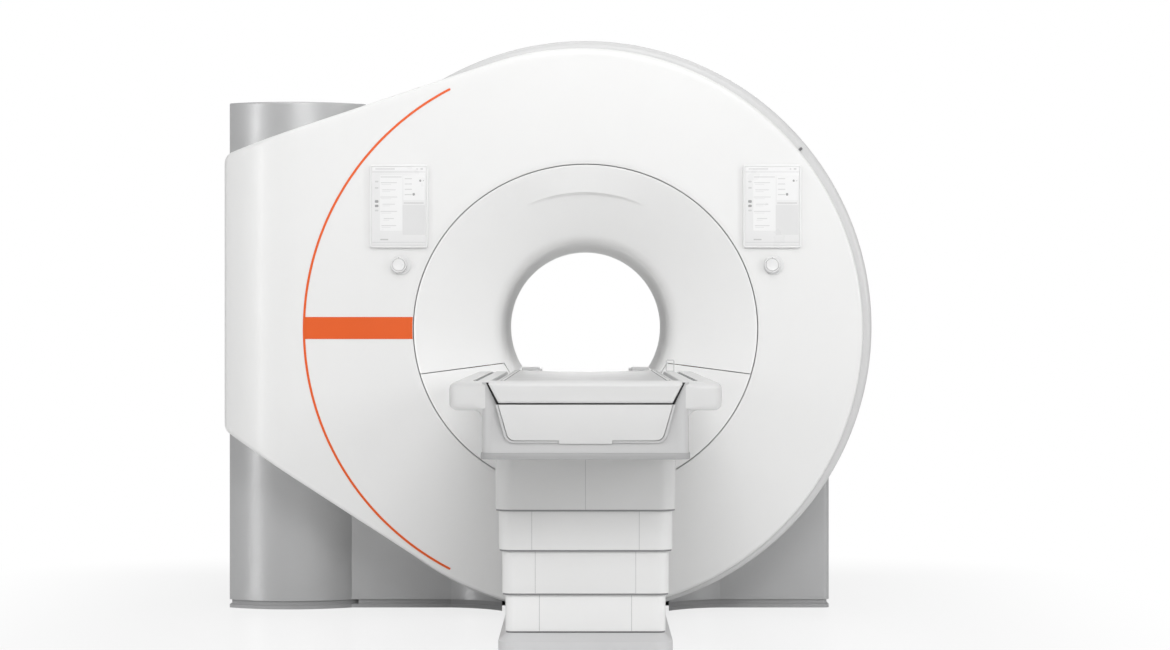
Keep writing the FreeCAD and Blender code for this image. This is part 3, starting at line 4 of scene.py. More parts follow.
import bmesh
import bpy
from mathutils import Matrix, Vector


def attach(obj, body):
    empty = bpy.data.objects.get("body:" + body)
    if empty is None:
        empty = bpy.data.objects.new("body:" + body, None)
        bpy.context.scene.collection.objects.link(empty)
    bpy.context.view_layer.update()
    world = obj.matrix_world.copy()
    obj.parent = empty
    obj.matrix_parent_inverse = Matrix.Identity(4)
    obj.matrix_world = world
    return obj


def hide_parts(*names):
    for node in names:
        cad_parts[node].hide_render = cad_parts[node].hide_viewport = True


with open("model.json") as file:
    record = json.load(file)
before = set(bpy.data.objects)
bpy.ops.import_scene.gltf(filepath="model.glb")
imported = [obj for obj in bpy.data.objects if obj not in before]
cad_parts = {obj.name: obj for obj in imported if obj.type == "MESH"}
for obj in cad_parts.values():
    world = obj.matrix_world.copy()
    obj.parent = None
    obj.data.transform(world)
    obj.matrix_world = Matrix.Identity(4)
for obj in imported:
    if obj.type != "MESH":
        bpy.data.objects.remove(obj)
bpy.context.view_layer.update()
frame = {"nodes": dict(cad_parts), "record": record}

nodes = frame["nodes"]

# The machine's main places, in metres
AXIS = 1.020
FRONT = -0.909
REAR = 0.715
SHOULDER = -0.885
BARREL_END = 0.665
COVER_RADIUS = 1.005
BORE = 0.300
TUBE_HALF = 0.615
SEAM = 0.003
WALL = 0.008

# Front face and its wing
FACE_RADIUS = 0.985
FACE_X = -0.013
FACE_Z = AXIS - 0.008
FACE_ROUND = 0.012
RIM_X = 0.604
RIM_Z = 0.578
RIM_DROP = 0.007
WING_LEFT = -1.278
WING_TOP = AXIS + 0.608
WING_LOW = AXIS - 0.364
WING_START = -1.000
WING_CURVE = 0.400
WING_BACK = FRONT + 0.600
WING_CORNER = 0.042

# Barrel cover, open underneath between UNDER_FRONT and UNDER_BACK, and the column's rounded front
SHOULDER_WIDTH = 0.047
SHOULDER_ROUND = 0.020
SHOULDER_EDGE = 0.030
UNDER_FRONT = -0.507
UNDER_BACK = 0.592
REAR_ROUND = 0.100
COLUMN_MIDDLE = -1.070
COLUMN_NOSE = -0.587
COLUMN_CURVE = 0.370

# Funnel: its lip, the joint of its halves, and the crease over the bore
LIP_RISE = 0.041
LIP_Y = -0.701
LIP_ROUND = 0.110
SPLIT_DROP = 0.093
SPLIT_FALL = 0.124
SPLIT_LOW = 0.183
SPLIT_REACH = 0.3185
SPLIT_STEP = 0.004
CREASE = 0.41
CREASE_FALL = 0.045
CREASE_SPREAD = 26.0
CREASE_DEPTH = 0.017
BELLY = 0.004

# Trim, displays and dials
ARC_RADIUS = 0.945
ARC_HALF = 0.004
ARC_SHIFT = 0.040
ARC_START = 117.5
ARC_SWEEP = 125.0
TRIM = 0.0012
BAND_LOW = 0.042
BAND_HIGH = 0.035
DISPLAY_X = 0.652
DISPLAY_Z = 0.422
DISPLAY_HALF_X = 0.102
DISPLAY_HALF_Z = 0.1455
DISPLAY_CORNER = 0.010
DISPLAY_DEPTH = 0.016
DISPLAY_FRAME = 0.007
DIAL_Z = 0.217
DIAL_RADIUS = 0.028
DIAL_KNURL = 0.0007
DIAL_SEAT = 0.004
DIAL_RING = 0.024
DIAL_CAP = 0.0253
SEAT_SHIFT = 0.007
MARK_RISE = 0.0246

# Table top and table head
TOP = AXIS - 0.150
DECK = TOP - 0.005
TOP_START = -2.902
TOP_END = -0.950
CAP_FRONT = -2.972
TRACK_IN = 0.226
TRACK_OUT = 0.238
SOCKET_IN = 0.159
SOCKET_OUT = 0.221
SOCKET_LONG = 0.044
SOCKET_HIGH = 0.011
HEAD_HALF = 0.290
HEAD_FRONT = -2.930
HEAD_BACK = -0.962
HEAD_CORNER = 0.034
BEAD_LOW = 0.650
PANEL_FRONT = -2.968
PANEL_TOP = 0.804
PANEL_LOW = 0.696
PANEL_HALF = 0.250
PANEL_FOOT = 0.222
PANEL_BOW = 0.032
TAB_HALF = 0.075
TAB_LOW = 0.694

# Side wings of the table head, with a gutter in each
SIDE_INNER = 0.2755
SIDE_OUTER = 0.385
SIDE_FOOT = 0.785
SIDE_TOP = DECK + 0.0005
SIDE_NOSE = -2.9232
SIDE_BEND = -2.858
SIDE_TURN = -2.830
SIDE_SPLAY = 1.389
GUTTER_IN = 0.309
GUTTER_OUT = 0.323
GUTTER_START = -2.720
GUTTER_DEPTH = 0.0094

# Pedestal: four covers, each smaller than the one above, and their joint lines
COVER_LOWS = (0.478, 0.359, 0.230, 0.118)
COVER_HIGHS = (0.670, 0.498, 0.379, 0.250)
COVER_LINES = ((0.0,), (-0.158, 0.158), (-0.148, 0.148), (-0.136, 0.136))
COVER_BODIES = ("cover_upper", "cover_middle", "cover_lower", "gantry")
# The top cover's paint is darker, as painted shade under the table head, and the bottom cover's is lighter,
# as painted light; the middle two have the plain white
COVER_PAINTS = ("pedestal_painted_shade", "pedestal_white", "pedestal_white", "pedestal_painted_light")
COVER_HALF = 0.266
COVER_NEAR = -2.515
COVER_FAR = -1.250
COVER_CORNER = 0.055
COVER_STEP = 0.0098
COVER_LIP = 0.005
LINE_HALF = 0.0006


# -------- materials

# How many features of each kind of cloud or relief lie along a metre
CLOUDS = 2.3
FLOOR_CLOUDS = 0.8
GLOSS_PATCHES = 11.0
ORANGE_PEEL = 160.0
GRAINS = 1400.0
FLAKES = 1700.0


def feed(tree, node, inputs):
    """Gives each of a node's inputs a value, or links another node's output to it."""
    for key, value in inputs.items():
        if isinstance(value, bpy.types.NodeSocket):
            tree.links.new(value, node.inputs[key])
        else:
            node.inputs[key].default_value = value
    return node


def add_node(tree, kind, inputs, **settings):
    """A new shader node with its settings and inputs."""
    node = tree.nodes.new("ShaderNode" + kind)
    for setting, value in settings.items():
        setattr(node, setting, value)
    return feed(tree, node, inputs)


def noise(tree, coords, scale, detail=2.0, roughness=0.5):
    """A noise texture's value."""
    inputs = {"Vector": coords, "Scale": scale, "Detail": detail, "Roughness": roughness}
    return add_node(tree, "TexNoise", inputs).outputs["Fac"]


def spread(tree, value, low, high, start=0.3, end=0.7, **settings):
    """Maps a value to a range; start and end suit a noise, whose values lie about the middle."""
    inputs = {"Value": value, "From Min": start, "From Max": end, "To Min": low, "To Max": high}
    return add_node(tree, "MapRange", inputs, **settings).outputs["Result"]


def blend_colors(tree, factor, first, second, **settings):
    """A colour between two others, or their product where the settings ask for it."""
    inputs = {"Factor": factor, 6: first, 7: second}
    return add_node(tree, "Mix", inputs, data_type="RGBA", **settings).outputs[2]


def shader_material(name):
    """A new node material, with its tree, its main shader and its coordinates."""
    mat = bpy.data.materials.new(name)
    mat.use_nodes = True
    tree = mat.node_tree
    coords = add_node(tree, "TexCoord", {}).outputs["Object"]
    return mat, tree, tree.nodes["Principled BSDF"], coords


def finish_material(name, color, rough, vary, peel, grain=0.0, metallic=0.0, coat=0.0, flake=0.0):
    """A moulded or lacquered surface: cloudy colour, uneven gloss, and orange peel or grain in relief."""
    mat, tree, shader, coords = shader_material(name)
    cloud = spread(tree, noise(tree, coords, CLOUDS, 4.0, 0.6), 0.0, 1.0)
    dark = [c * (1 - vary) for c in color]
    light = [min(c * (1 + vary * 0.6), 1.0) for c in color]
    tone = blend_colors(tree, cloud, (*dark, 1), (*light, 1))
    if flake:
        specks = spread(tree, noise(tree, coords, FLAKES, 1.0), 0.0, 1.0)
        tone = blend_colors(tree, flake, tone, specks, blend_type="MULTIPLY")
    gloss = spread(tree, noise(tree, coords, GLOSS_PATCHES, 3.0), rough - 0.04, rough + 0.04)
    height = noise(tree, coords, GRAINS if grain else ORANGE_PEEL)
    relief = {"Strength": peel + grain, "Distance": 0.0004 if grain else 0.0008, "Height": height}
    bump = add_node(tree, "Bump", relief).outputs["Normal"]
    feed(tree, shader, {"Base Color": tone, "Roughness": gloss, "Metallic": metallic, "Coat Weight": coat,
                        "Coat Roughness": 0.12, "Normal": bump})
    return mat


# Colour, roughness, cloudiness, orange peel, and what else each surface has
LACQUER = {"coat": 0.1}
FINISHES = {
    "white_cover": ((0.80, 0.80, 0.795), 0.34, 0.004, 0.012, LACQUER),
    "funnel_white": ((0.93, 0.93, 0.925), 0.34, 0.003, 0.012, LACQUER),
    "grey_cover": ((0.52, 0.522, 0.525), 0.33, 0.01, 0.01, {"metallic": 0.35, "coat": 0.1, "flake": 0.06}),
    "skirt_grey": ((0.40, 0.40, 0.405), 0.5, 0.04, 0.0, {"grain": 0.15}),
    "bore_white": ((0.90, 0.90, 0.895), 0.42, 0.004, 0.006, {}),
    "accent_orange": ((0.76, 0.100, 0.003), 0.42, 0.03, 0.03, {}),
    "rail_white": ((0.84, 0.84, 0.835), 0.35, 0.005, 0.012, {}),
    "glass_fibre": ((0.55, 0.53, 0.36), 0.45, 0.15, 0.2, {}),
    "copper_resin": ((0.33, 0.16, 0.09), 0.4, 0.12, 0.15, {}),
    "vessel_steel": ((0.58, 0.59, 0.60), 0.42, 0.05, 0.1, {}),
    "frame_steel": ((0.42, 0.43, 0.44), 0.5, 0.06, 0.0, {"grain": 0.3}),
    "cold_steel": ((0.60, 0.61, 0.63), 0.3, 0.05, 0.1, {"metallic": 1.0}),
    "cabinet_grey": ((0.50, 0.51, 0.52), 0.5, 0.03, 0.0, {"grain": 0.3}),
    "display_frame": ((0.82, 0.82, 0.82), 0.35, 0.01, 0.01, {}),
    "display_glass": ((0.78, 0.78, 0.78), 0.30, 0.01, 0.0, {}),
    "dial_grey": ((0.74, 0.74, 0.74), 0.34, 0.02, 0.02, {}),
    "dial_cap": ((0.80, 0.80, 0.80), 0.30, 0.02, 0.02, LACQUER),
    "latch_dark": ((0.16, 0.16, 0.165), 0.5, 0.1, 0.0, {"grain": 0.2}),
    "table_white": ((0.63, 0.63, 0.627), 0.33, 0.008, 0.03, LACQUER),
    # The table head's grey: partly its own grey, and partly painted shade for its front falling into shade
    # under the table top; it also colours the panel frame and the coil sockets
    "table_grey": ((0.515, 0.515, 0.516), 0.36, 0.01, 0.03, LACQUER),
    "joint_grey": ((0.42, 0.42, 0.425), 0.5, 0.03, 0.0, {"grain": 0.1}),
    # The pedestal covers' lips: real lips, made this dark as painted shade for the gap under each cover
    "lip_dark": ((0.24, 0.24, 0.245), 0.6, 0.05, 0.0, {"grain": 0.2}),
    "seal_black": ((0.012, 0.012, 0.013), 0.55, 0.1, 0.0, {"grain": 0.2}),
    "strip_grey": ((0.20, 0.205, 0.21), 0.6, 0.06, 0.0, {"grain": 0.25}),
    "pedestal_white": ((0.78, 0.78, 0.775), 0.36, 0.012, 0.03, LACQUER),
    # Darker and lighter copies of the pedestal white: painted shade for the top cover under the head, painted
    # light for the bottom cover
    "pedestal_painted_shade": ((0.68, 0.68, 0.676), 0.36, 0.012, 0.03, LACQUER),
    "pedestal_painted_light": ((0.85, 0.85, 0.845), 0.36, 0.012, 0.03, LACQUER),
    "plinth_grey": ((0.62, 0.62, 0.625), 0.38, 0.02, 0.03, LACQUER),
    "stage_metal": ((0.62, 0.63, 0.64), 0.35, 0.04, 0.05, {"metallic": 0.9}),
    "drive_metal": ((0.30, 0.31, 0.32), 0.45, 0.05, 0.0, {"grain": 0.3}),
    "screen_pale": ((0.83, 0.83, 0.83), 0.30, 0.01, 0.05, {}),
    "screen_soft": ((0.62, 0.62, 0.62), 0.30, 0.01, 0.05, {}),
    "screen_line": ((0.54, 0.54, 0.54), 0.30, 0.01, 0.05, {}),
    "screen_block": ((0.71, 0.71, 0.71), 0.30, 0.01, 0.05, {}),
    "screen_dark": ((0.34, 0.34, 0.34), 0.30, 0.01, 0.05, {}),
    "panel_white": ((0.65, 0.65, 0.647), 0.34, 0.008, 0.02, LACQUER),
    # The bead's dark grey is painted shade for the shadowed bead under the table head
    "bead_painted_shade": ((0.34, 0.34, 0.342), 0.45, 0.02, 0.02, {}),
    "board_white": ((0.50, 0.50, 0.498), 0.35, 0.008, 0.02, LACQUER),
    # The barrel's white, darker than the front cover's, as painted shade where its side turns away from the
    # light
    "barrel_white_painted_shade": ((0.62, 0.62, 0.62), 0.36, 0.01, 0.02, LACQUER),
    "track_dark": ((0.10, 0.10, 0.105), 0.5, 0.05, 0.0, {"grain": 0.2}),
    "loop_white": ((0.60, 0.60, 0.60), 0.4, 0.02, 0.03, {}),
}
M = {name: finish_material(name, *values, **extra) for name, (*values, extra) in FINISHES.items()}

slot_of = {s["node"]: s["material_slot"] for s in frame["record"]["subparts"]}
for name, piece in nodes.items():
    piece.data.materials.clear()
    piece.data.materials.append(M[slot_of[name]])


# -------- mesh tools

def add_object(name, data):
    """A new object in the scene."""
    thing = bpy.data.objects.new(name, data)
    bpy.context.scene.collection.objects.link(thing)
    return thing


def mesh_piece(name, points, faces, body, slot, mat=None, angle=40, replaces=()):
    """A mesh object that rides on a body, smooth but for edges sharper than the angle."""
    mesh = bpy.data.meshes.new(name)
    mesh.from_pydata([tuple(p) for p in points], [], faces)
    mesh.validate()
    shape = bmesh.new()
    shape.from_mesh(mesh)
    bmesh.ops.recalc_face_normals(shape, faces=shape.faces)
    shape.to_mesh(mesh)
    shape.free()
    mesh.shade_smooth()
    mesh.set_sharp_from_angle(angle=math.radians(angle))
    mesh.materials.append(mat or M[slot])
    piece = add_object(name, mesh)
    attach(piece, body)
    if replaces:
        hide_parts(*replaces)
    return piece


def loft(name, rings, body, slot, ring_closed=True, loop=False, caps=False, keep=None, **rest):
    """Skins a row of rings. Loop joins the last ring to the first, and caps close the ends.

    Open rings are strips, whose own two ends are closed. Keep says which (row, place) faces are made.
    """
    count = len(rings[0])
    points = [p for ring in rings for p in ring]
    faces = []
    rows = len(rings)
    for r in range(rows if loop else rows - 1):
        a, b = r * count, ((r + 1) % rows) * count
        for i in range(count if ring_closed else count - 1):
            j = (i + 1) % count
            if not keep or keep(r, i):
                faces.append((a + i, a + j, b + j, b + i))
    if not ring_closed:
        faces.append(tuple(range(0, rows * count, count)))
        faces.append(tuple(range(rows * count - 1, 0, -count)))
    if caps:
        faces += [tuple(reversed(range(count))), tuple(range((rows - 1) * count, rows * count))]
    return mesh_piece(name, points, faces, body, slot, **rest)


def turned_rings(profile, count, centre=(0.0, AXIS)):
    """A profile of (radius, y) turned about an axis along Y through a point (x, z)."""
    turns = [2 * math.pi * i / count for i in range(count)]
    return [[(centre[0] + radius * math.cos(a), y, centre[1] + radius * math.sin(a)) for a in turns]
            for radius, y in profile]


def disc(name, profile, level, centre, body, slot, count=96, **rest):
    """A turned piece with closed ends. Its profile of (radius, depth) starts from a level along Y."""
    rings = turned_rings([(radius, level + deep) for radius, deep in profile], count, centre)
    return loft(name, rings, body, slot, caps=True, **rest)


def lathe(name, profile, slot, count=256, **rest):
    """A closed profile turned about the bore's axis, on the gantry."""
    return loft(name, turned_rings(profile, count), "gantry", slot, loop=True, **rest)


def sheet_shell(name, front, back, body, slot, **rest):
    """A thick skin between two grids of points with the same rows and columns."""
    rows = len(front)
    cols = len(front[0])
    points = [p for row in front for p in row] + [p for row in back for p in row]
    half = rows * cols
    faces = []
    for r in range(rows - 1):
        for c in range(cols - 1):
            a = r * cols + c
            faces.append((a, a + 1, a + cols + 1, a + cols))
            faces.append((half + a, half + a + cols, half + a + cols + 1, half + a + 1))
    for c in range(cols - 1):
        faces.append((c, half + c, half + c + 1, c + 1))
        a = (rows - 1) * cols + c
        faces.append((a, a + 1, half + a + 1, half + a))
    for r in range(rows - 1):
        a = r * cols
        faces.append((a, a + cols, half + a + cols, half + a))
        b = a + cols - 1
        faces.append((b, half + b, half + b + cols, b + cols))
    return mesh_piece(name, points, faces, body, slot, **rest)


def between(a, b, t):
    """The point a share t of the way from a to b."""
    return (a[0] + (b[0] - a[0]) * t, a[1] + (b[1] - a[1]) * t)


def arc_points(centre, radius, start, end, steps):
    """Points on an arc, angles in degrees."""
    turns = [math.radians(start + (end - start) * i / steps) for i in range(steps + 1)]
    return [(centre[0] + radius * math.cos(a), centre[1] + radius * math.sin(a)) for a in turns]


def rectangle(left, right, low, high):
    """The corners of a rectangle, anticlockwise."""
    return [(left, low), (right, low), (right, high), (left, high)]


def round_corners(corners, radii, steps=8):
    """A closed outline with its corners rounded, by one radius or each by its own."""
    out = []
    count = len(corners)
    for i, (x, y) in enumerate(corners):
        radius = radii[i] if isinstance(radii, (list, tuple)) else radii
        if radius <= 0:
            out.append((x, y))
            continue
        corner = Vector((x, y))
        before = (Vector(corners[i - 1]) - corner).normalized()
        after = (Vector(corners[(i + 1) % count]) - corner).normalized()
        half = before.angle(after) / 2
        reach = radius / math.tan(half)
        centre = corner + (before + after).normalized() * radius / math.sin(half)
        first = corner + before * reach - centre
        last = corner + after * reach - centre
        turn = math.degrees(math.atan2(first.x * last.y - first.y * last.x, first.dot(last)))
        base = math.degrees(math.atan2(first.y, first.x))
        out += arc_points(centre, radius, base, base + turn, steps)
    return out


def shrink(corners, inset):
    """Moves the sides of a convex outline inwards by a distance; corners run anticlockwise."""
    out = []
    count = len(corners)
    for i in range(count):
        p = Vector(corners[i])
        a = (p - Vector(corners[i - 1])).normalized()
        b = (Vector(corners[(i + 1) % count]) - p).normalized()
        na = Vector((-a.y, a.x))
        nb = Vector((-b.y, b.x))
        out.append(tuple(p + (na + nb) * (inset / (1 + na.dot(nb)))))
    return out


def bevel_steps(size, steps=4):
    """(inset, depth) pairs of a rounded edge, from the outer side to the face; one pair for a sharp edge."""
    turns = [math.radians(90 * k / steps) for k in range(steps + 1)] if size else [0.0]
    return [(size * (1 - math.cos(a)), size * math.sin(a)) for a in turns]


def slab(name, corners, radius, low, high, body, slot, soft_low=0.0, soft_high=0.0, steps=8, axis="z",
         **rest):
    """A solid outline with rounded corners and softened edges, standing along z or y.

    Corners are (x, y) for z and (x, z) for y; they run anticlockwise as numbers.
    """
    def ring(inset, level):
        flat = round_corners(shrink(corners, inset), max(radius - inset, 0.0001) if radius else 0, steps)
        if axis == "z":
            return [(x, y, level) for x, y in flat]
        return [(x, level, z) for x, z in flat]

    rings = [ring(inset, low + soft_low - depth) for inset, depth in reversed(bevel_steps(soft_low))]
    rings += [ring(inset, high - soft_high + depth) for inset, depth in bevel_steps(soft_high)]
    return loft(name, rings, body, slot, caps=True, **rest)


# -------- front cover

def face_path(inset):
    """The front cover's outline, drawn in by an inset: (x, z) points, anticlockwise."""
    arc_steps, side_steps, end_steps, corner_steps = 300, 40, 60, 12
    radius = FACE_RADIUS - inset
    left = WING_LEFT + inset
    ends = [(left, WING_TOP - inset), (left, WING_LOW + inset)]
    touch = []
    for (x, z), turn in zip(ends, (-1, 1)):
        dx, dz = x - FACE_X, z - FACE_Z
        touch.append(math.atan2(dz, dx) + turn * math.acos(radius / math.hypot(dx, dz)))
    start, stop = touch[1], touch[0]
    while stop < start:
        stop += 2 * math.pi
    path = arc_points((FACE_X, FACE_Z), radius, math.degrees(start), math.degrees(stop), arc_steps)
    corner = max(WING_CORNER - inset, 0.004)
    soft = round_corners([path[-1], *ends, path[0]], [0, corner, corner, 0], corner_steps)
    upper = soft[1:corner_steps + 2]
    lower = soft[corner_steps + 2:2 * corner_steps + 3]

    def line(a, b, steps):
        return [between(a, b, k / steps) for k in range(1, steps)]

    path += line(path[-1], upper[0], side_steps)
    path += upper
    path += line(upper[-1], lower[0], end_steps)
    path += lower
    path += line(lower[-1], path[0], side_steps)
    return path


def face_y(x):
    """How far forward the front cover stands at a place across."""
    if x >= WING_START:
        return FRONT
    run = min(WING_START - x, WING_CURVE * 0.95)
    return FRONT + WING_CURVE - math.sqrt(WING_CURVE * WING_CURVE - run * run)


def column_front(x, grow):
    """Y of the column's rounded front at a place across, grown by a clearance."""
    radius = COLUMN_CURVE + grow
    off = min(abs(x - COLUMN_MIDDLE), radius * 0.999)
    return COLUMN_NOSE + COLUMN_CURVE - math.sqrt(radius * radius - off * off)


def front_cover():
    """The front face with its wing, from the funnel's rim over the outer edge and back inside."""
    outline = face_path(0.0)

    def rim_points(grow=0.0):
        rim = []
        for x, z in outline:
            dx, dz = x / RIM_X, (z - (AXIS - RIM_DROP)) / RIM_Z
            far = math.hypot(dx, dz)
            rim.append(((RIM_X + grow) * dx / far, AXIS - RIM_DROP + (RIM_Z + grow) * dz / far))
        return rim

    def wall_back(x, z):
        if math.hypot(x, z - AXIS) < COVER_RADIUS + 0.002:
            return SHOULDER
        return min(WING_BACK, column_front(x, 0.0005))

    def across(near, far, t, deep):
        flat = [between(a, b, t) for a, b in zip(near, far)]
        return [(x, face_y(x) + deep, z) for x, z in flat]

    rim = rim_points()
    rim_soft = rim_points(0.002)
    rings = [[(x, FRONT + WALL, z) for x, z in rim], [(x, FRONT + 0.002, z) for x, z in rim],
             [(x, FRONT + 0.0006, z) for x, z in rim_points(0.0006)], [(x, FRONT, z) for x, z in rim_soft]]
    inner = face_path(FACE_ROUND)
    rings += [across(rim_soft, inner, k / 25, 0.0) for k in range(1, 26)]
    for k in range(1, 7):
        a = math.radians(90 * k / 6)
        inset = FACE_ROUND * (1 - math.sin(a))
        back = FACE_ROUND * (1 - math.cos(a))
        rings.append([(x, face_y(x) + back, z) for x, z in face_path(inset)])
    for t in (0.3, 1.0):
        row = []
        for x, z in outline:
            near = face_y(x) + FACE_ROUND
            row.append((x, near + (wall_back(x, z) - near) * t, z))
        rings.append(row)
    thin = face_path(WALL)
    rings.append([(x, wall_back(*outer), z) for outer, (x, z) in zip(outline, thin)])
    rings.append([(x, face_y(outer[0]) + WALL + 0.004, z) for outer, (x, z) in zip(outline, thin)])
    rings += [across(thin, rim, k / 12, WALL) for k in range(1, 12)]
    loft("front_cover_skin", rings, "gantry", "white_cover", loop=True, replaces=("front_cover",))


# -------- barrel and rear

def barrel():
    """The barrel cover, a ring left open underneath between its two ends."""
    inside = COVER_RADIUS - WALL
    lengthwise = (-0.70, UNDER_FRONT, -0.30, 0.0, 0.30, UNDER_BACK)
    profile = [(COVER_RADIUS - SHOULDER_WIDTH, SHOULDER), (COVER_RADIUS - SHOULDER_EDGE, SHOULDER)]
    hub = (COVER_RADIUS - SHOULDER_ROUND, SHOULDER + SHOULDER_ROUND)
    profile += arc_points(hub, SHOULDER_ROUND, -90, 0, 8)
    profile += [(COVER_RADIUS, y) for y in lengthwise]
    profile += [(COVER_RADIUS, BARREL_END - 0.002), (COVER_RADIUS - 0.002, BARREL_END), (inside, BARREL_END)]
    profile += [(inside, y) for y in reversed(lengthwise)]
    profile += [(inside, SHOULDER + SHOULDER_ROUND), (COVER_RADIUS - SHOULDER_ROUND, SHOULDER + WALL),
                (COVER_RADIUS - SHOULDER_WIDTH, SHOULDER + WALL)]
    open_from, open_to = 210, 330

    def closed(r, i):
        middle_y = (profile[r][1] + profile[(r + 1) % len(profile)][1]) / 2
        return not (UNDER_FRONT < middle_y < UNDER_BACK and open_from <= i < open_to)

    # The barrel takes the darker white, painted shade for its side
    lathe("barrel_cover_skin", profile, "white_cover", count=360, keep=closed, mat=M["barrel_white_painted_shade"],
          replaces=("barrel_cover",))


def rear():
    """The rear cover and the rounded funnel at the back of the bore."""
    rim = BORE + REAR_ROUND
    seam = BARREL_END + SEAM
    lip = [(rim + SEAM, REAR - 0.0015), (rim + SEAM + 0.0015, REAR), (COVER_RADIUS - SHOULDER_EDGE, REAR)]
    edge = arc_points((COVER_RADIUS - SHOULDER_ROUND, REAR - SHOULDER_ROUND), SHOULDER_ROUND, 90, 0, 8)
    back = [(COVER_RADIUS, seam + 0.0015), (COVER_RADIUS - 0.0015, seam), (COVER_RADIUS - WALL, seam),
            (COVER_RADIUS - WALL, REAR - SHOULDER_ROUND), (COVER_RADIUS - SHOULDER_ROUND, REAR - WALL),
            (rim + SEAM, REAR - WALL)]
    lathe("rear_cover_skin", lip + edge + back, "white_cover", count=360, replaces=("rear_cover",))
    flange = rim + SEAM - 0.0006
    profile = arc_points((rim, TUBE_HALF), REAR_ROUND, 180, 90, 20)
    profile += [(flange, REAR), (flange, REAR - WALL), (rim, REAR - WALL)]
    profile += arc_points((rim, TUBE_HALF), REAR_ROUND - WALL, 90, 180, 12)
    lathe("rear_funnel_skin", profile, "funnel_white", replaces=("rear_funnel",))


# -------- funnel

def rim_reach(a):
    """Distance from the bore axis to the funnel's rim at an angle, a hair inside the face's hole."""
    half_x = RIM_X - SEAM
    half_z = RIM_Z - SEAM
    c, s = math.cos(a), math.sin(a)
    p = (c / half_x) ** 2 + (s / half_z) ** 2
    q = 2 * s * RIM_DROP / half_z ** 2
    r = (RIM_DROP / half_z) ** 2 - 1
    return (-q + math.sqrt(q * q - 4 * p * r)) / (2 * p)


def split_angle(reach, shift=0.0):
    """Angle of the joint of the funnel's halves, on the right side, at a distance from the axis.

    The joint falls away from the bore to the rim, and steps down to the rails just inside the lip.
    """
    slant = math.atan(SPLIT_FALL)
    outer = -math.asin(min(SPLIT_DROP * math.cos(slant) / reach, 1.0)) - slant
    inner = -math.asin(min(SPLIT_LOW / reach, 1.0))
    t = min(max((SPLIT_REACH + shift - reach) / SPLIT_STEP, 0.0), 1.0)
    return outer + (inner - outer) * t


def funnel_spot(a, t):
    """A point of the funnel's skin: t runs 0..1 from rim to lip and on to 2 at the bore."""
    rim = rim_reach(a)
    lip = BORE + LIP_RISE
    if t <= 1.0:
        seat = FRONT + 0.0015
        y = seat + (LIP_Y - seat) * t
        off = abs(math.degrees(a) - 90)
        fold = t / CREASE if t < CREASE else max(0.0, 1 - (t - CREASE) / CREASE_FALL) ** 2
        y -= CREASE_DEPTH * max(0.0, 1 - (off / CREASE_SPREAD) ** 2) * fold
        y -= BELLY * math.sin(math.pi * t) * max(0.0, 1 - off / 180.0)
        y += 0.0015 * max(0.0, 1 - t / 0.012)
        return rim + (lip - rim) * t, y
    centre = (BORE + LIP_ROUND, -TUBE_HALF)
    start = math.atan2(LIP_Y - centre[1], lip - centre[0]) + 2 * math.pi
    turn = start + (math.pi - start) * (t - 1.0)
    return centre[0] + LIP_ROUND * math.cos(turn), centre[1] + LIP_ROUND * math.sin(turn)


def funnel():
    """Both halves of the funnel, each with its back."""
    stations = [0.0, 0.006, 0.012, 0.03, 0.06, 0.10, 0.15, 0.20, 0.25, 0.30, 0.35]
    stations += [CREASE - 0.02, CREASE - 0.004] + [CREASE + CREASE_FALL * k / 6 for k in range(7)]
    stations += [0.50, 0.54, 0.58, 0.64, 0.70, 0.76, 0.82, 0.88, 0.93, 0.97, 1.0]
    stations += [1.0 + k / 24 for k in range(1, 8)] + [1.30 + k * 0.0125 for k in range(15)]
    stations += [1.0 + k / 24 for k in range(12, 25)]
    gap = SEAM / 2
    upper_steps, lower_steps = 260, 140
    back_out, back_deep = 0.006, 0.007

    def grid(upper, back):
        rows = []
        for t in stations:
            limit = split_angle(rim_reach(0.0))
            for _ in range(6):
                reach = funnel_spot(limit, t)[0]
                limit = split_angle(reach, -gap if upper else gap)
            shift = gap / reach
            if upper:
                first, last, steps = limit + shift, math.pi - limit - shift, upper_steps
            else:
                first, last, steps = math.pi - limit + shift, 2 * math.pi + limit - shift, lower_steps
            row = []
            for k in range(steps + 1):
                a = first + (last - first) * k / steps
                reach, y = funnel_spot(a, t)
                if back:
                    reach += back_out if t > 0.9 else 0.0
                    y = min(y + (back_deep if t < 1.6 else 0.0), -TUBE_HALF)
                row.append((reach * math.cos(a), y, AXIS + reach * math.sin(a)))
            rows.append(row)
        return rows

    for upper, node in ((True, "funnel_upper"), (False, "funnel_lower")):
        sheet_shell(node + "_skin", grid(upper, False), grid(upper, True), "gantry", "funnel_white", angle=30,
                    replaces=(node,))


def bore():
    """The bore tube, a hair longer than between the funnels, so that its ends lie under theirs."""
    end = TUBE_HALF + 0.0004
    inside, outside = BORE + 0.0003, BORE + 0.0058
    profile = [(inside, -end)] + [(inside, -TUBE_HALF + 2 * TUBE_HALF * k / 12) for k in range(1, 12)]
    profile += [(inside, end), (outside, end), (outside, -end)]
    lathe("bore_liner_skin", profile, "bore_white", replaces=("bore_liner",))


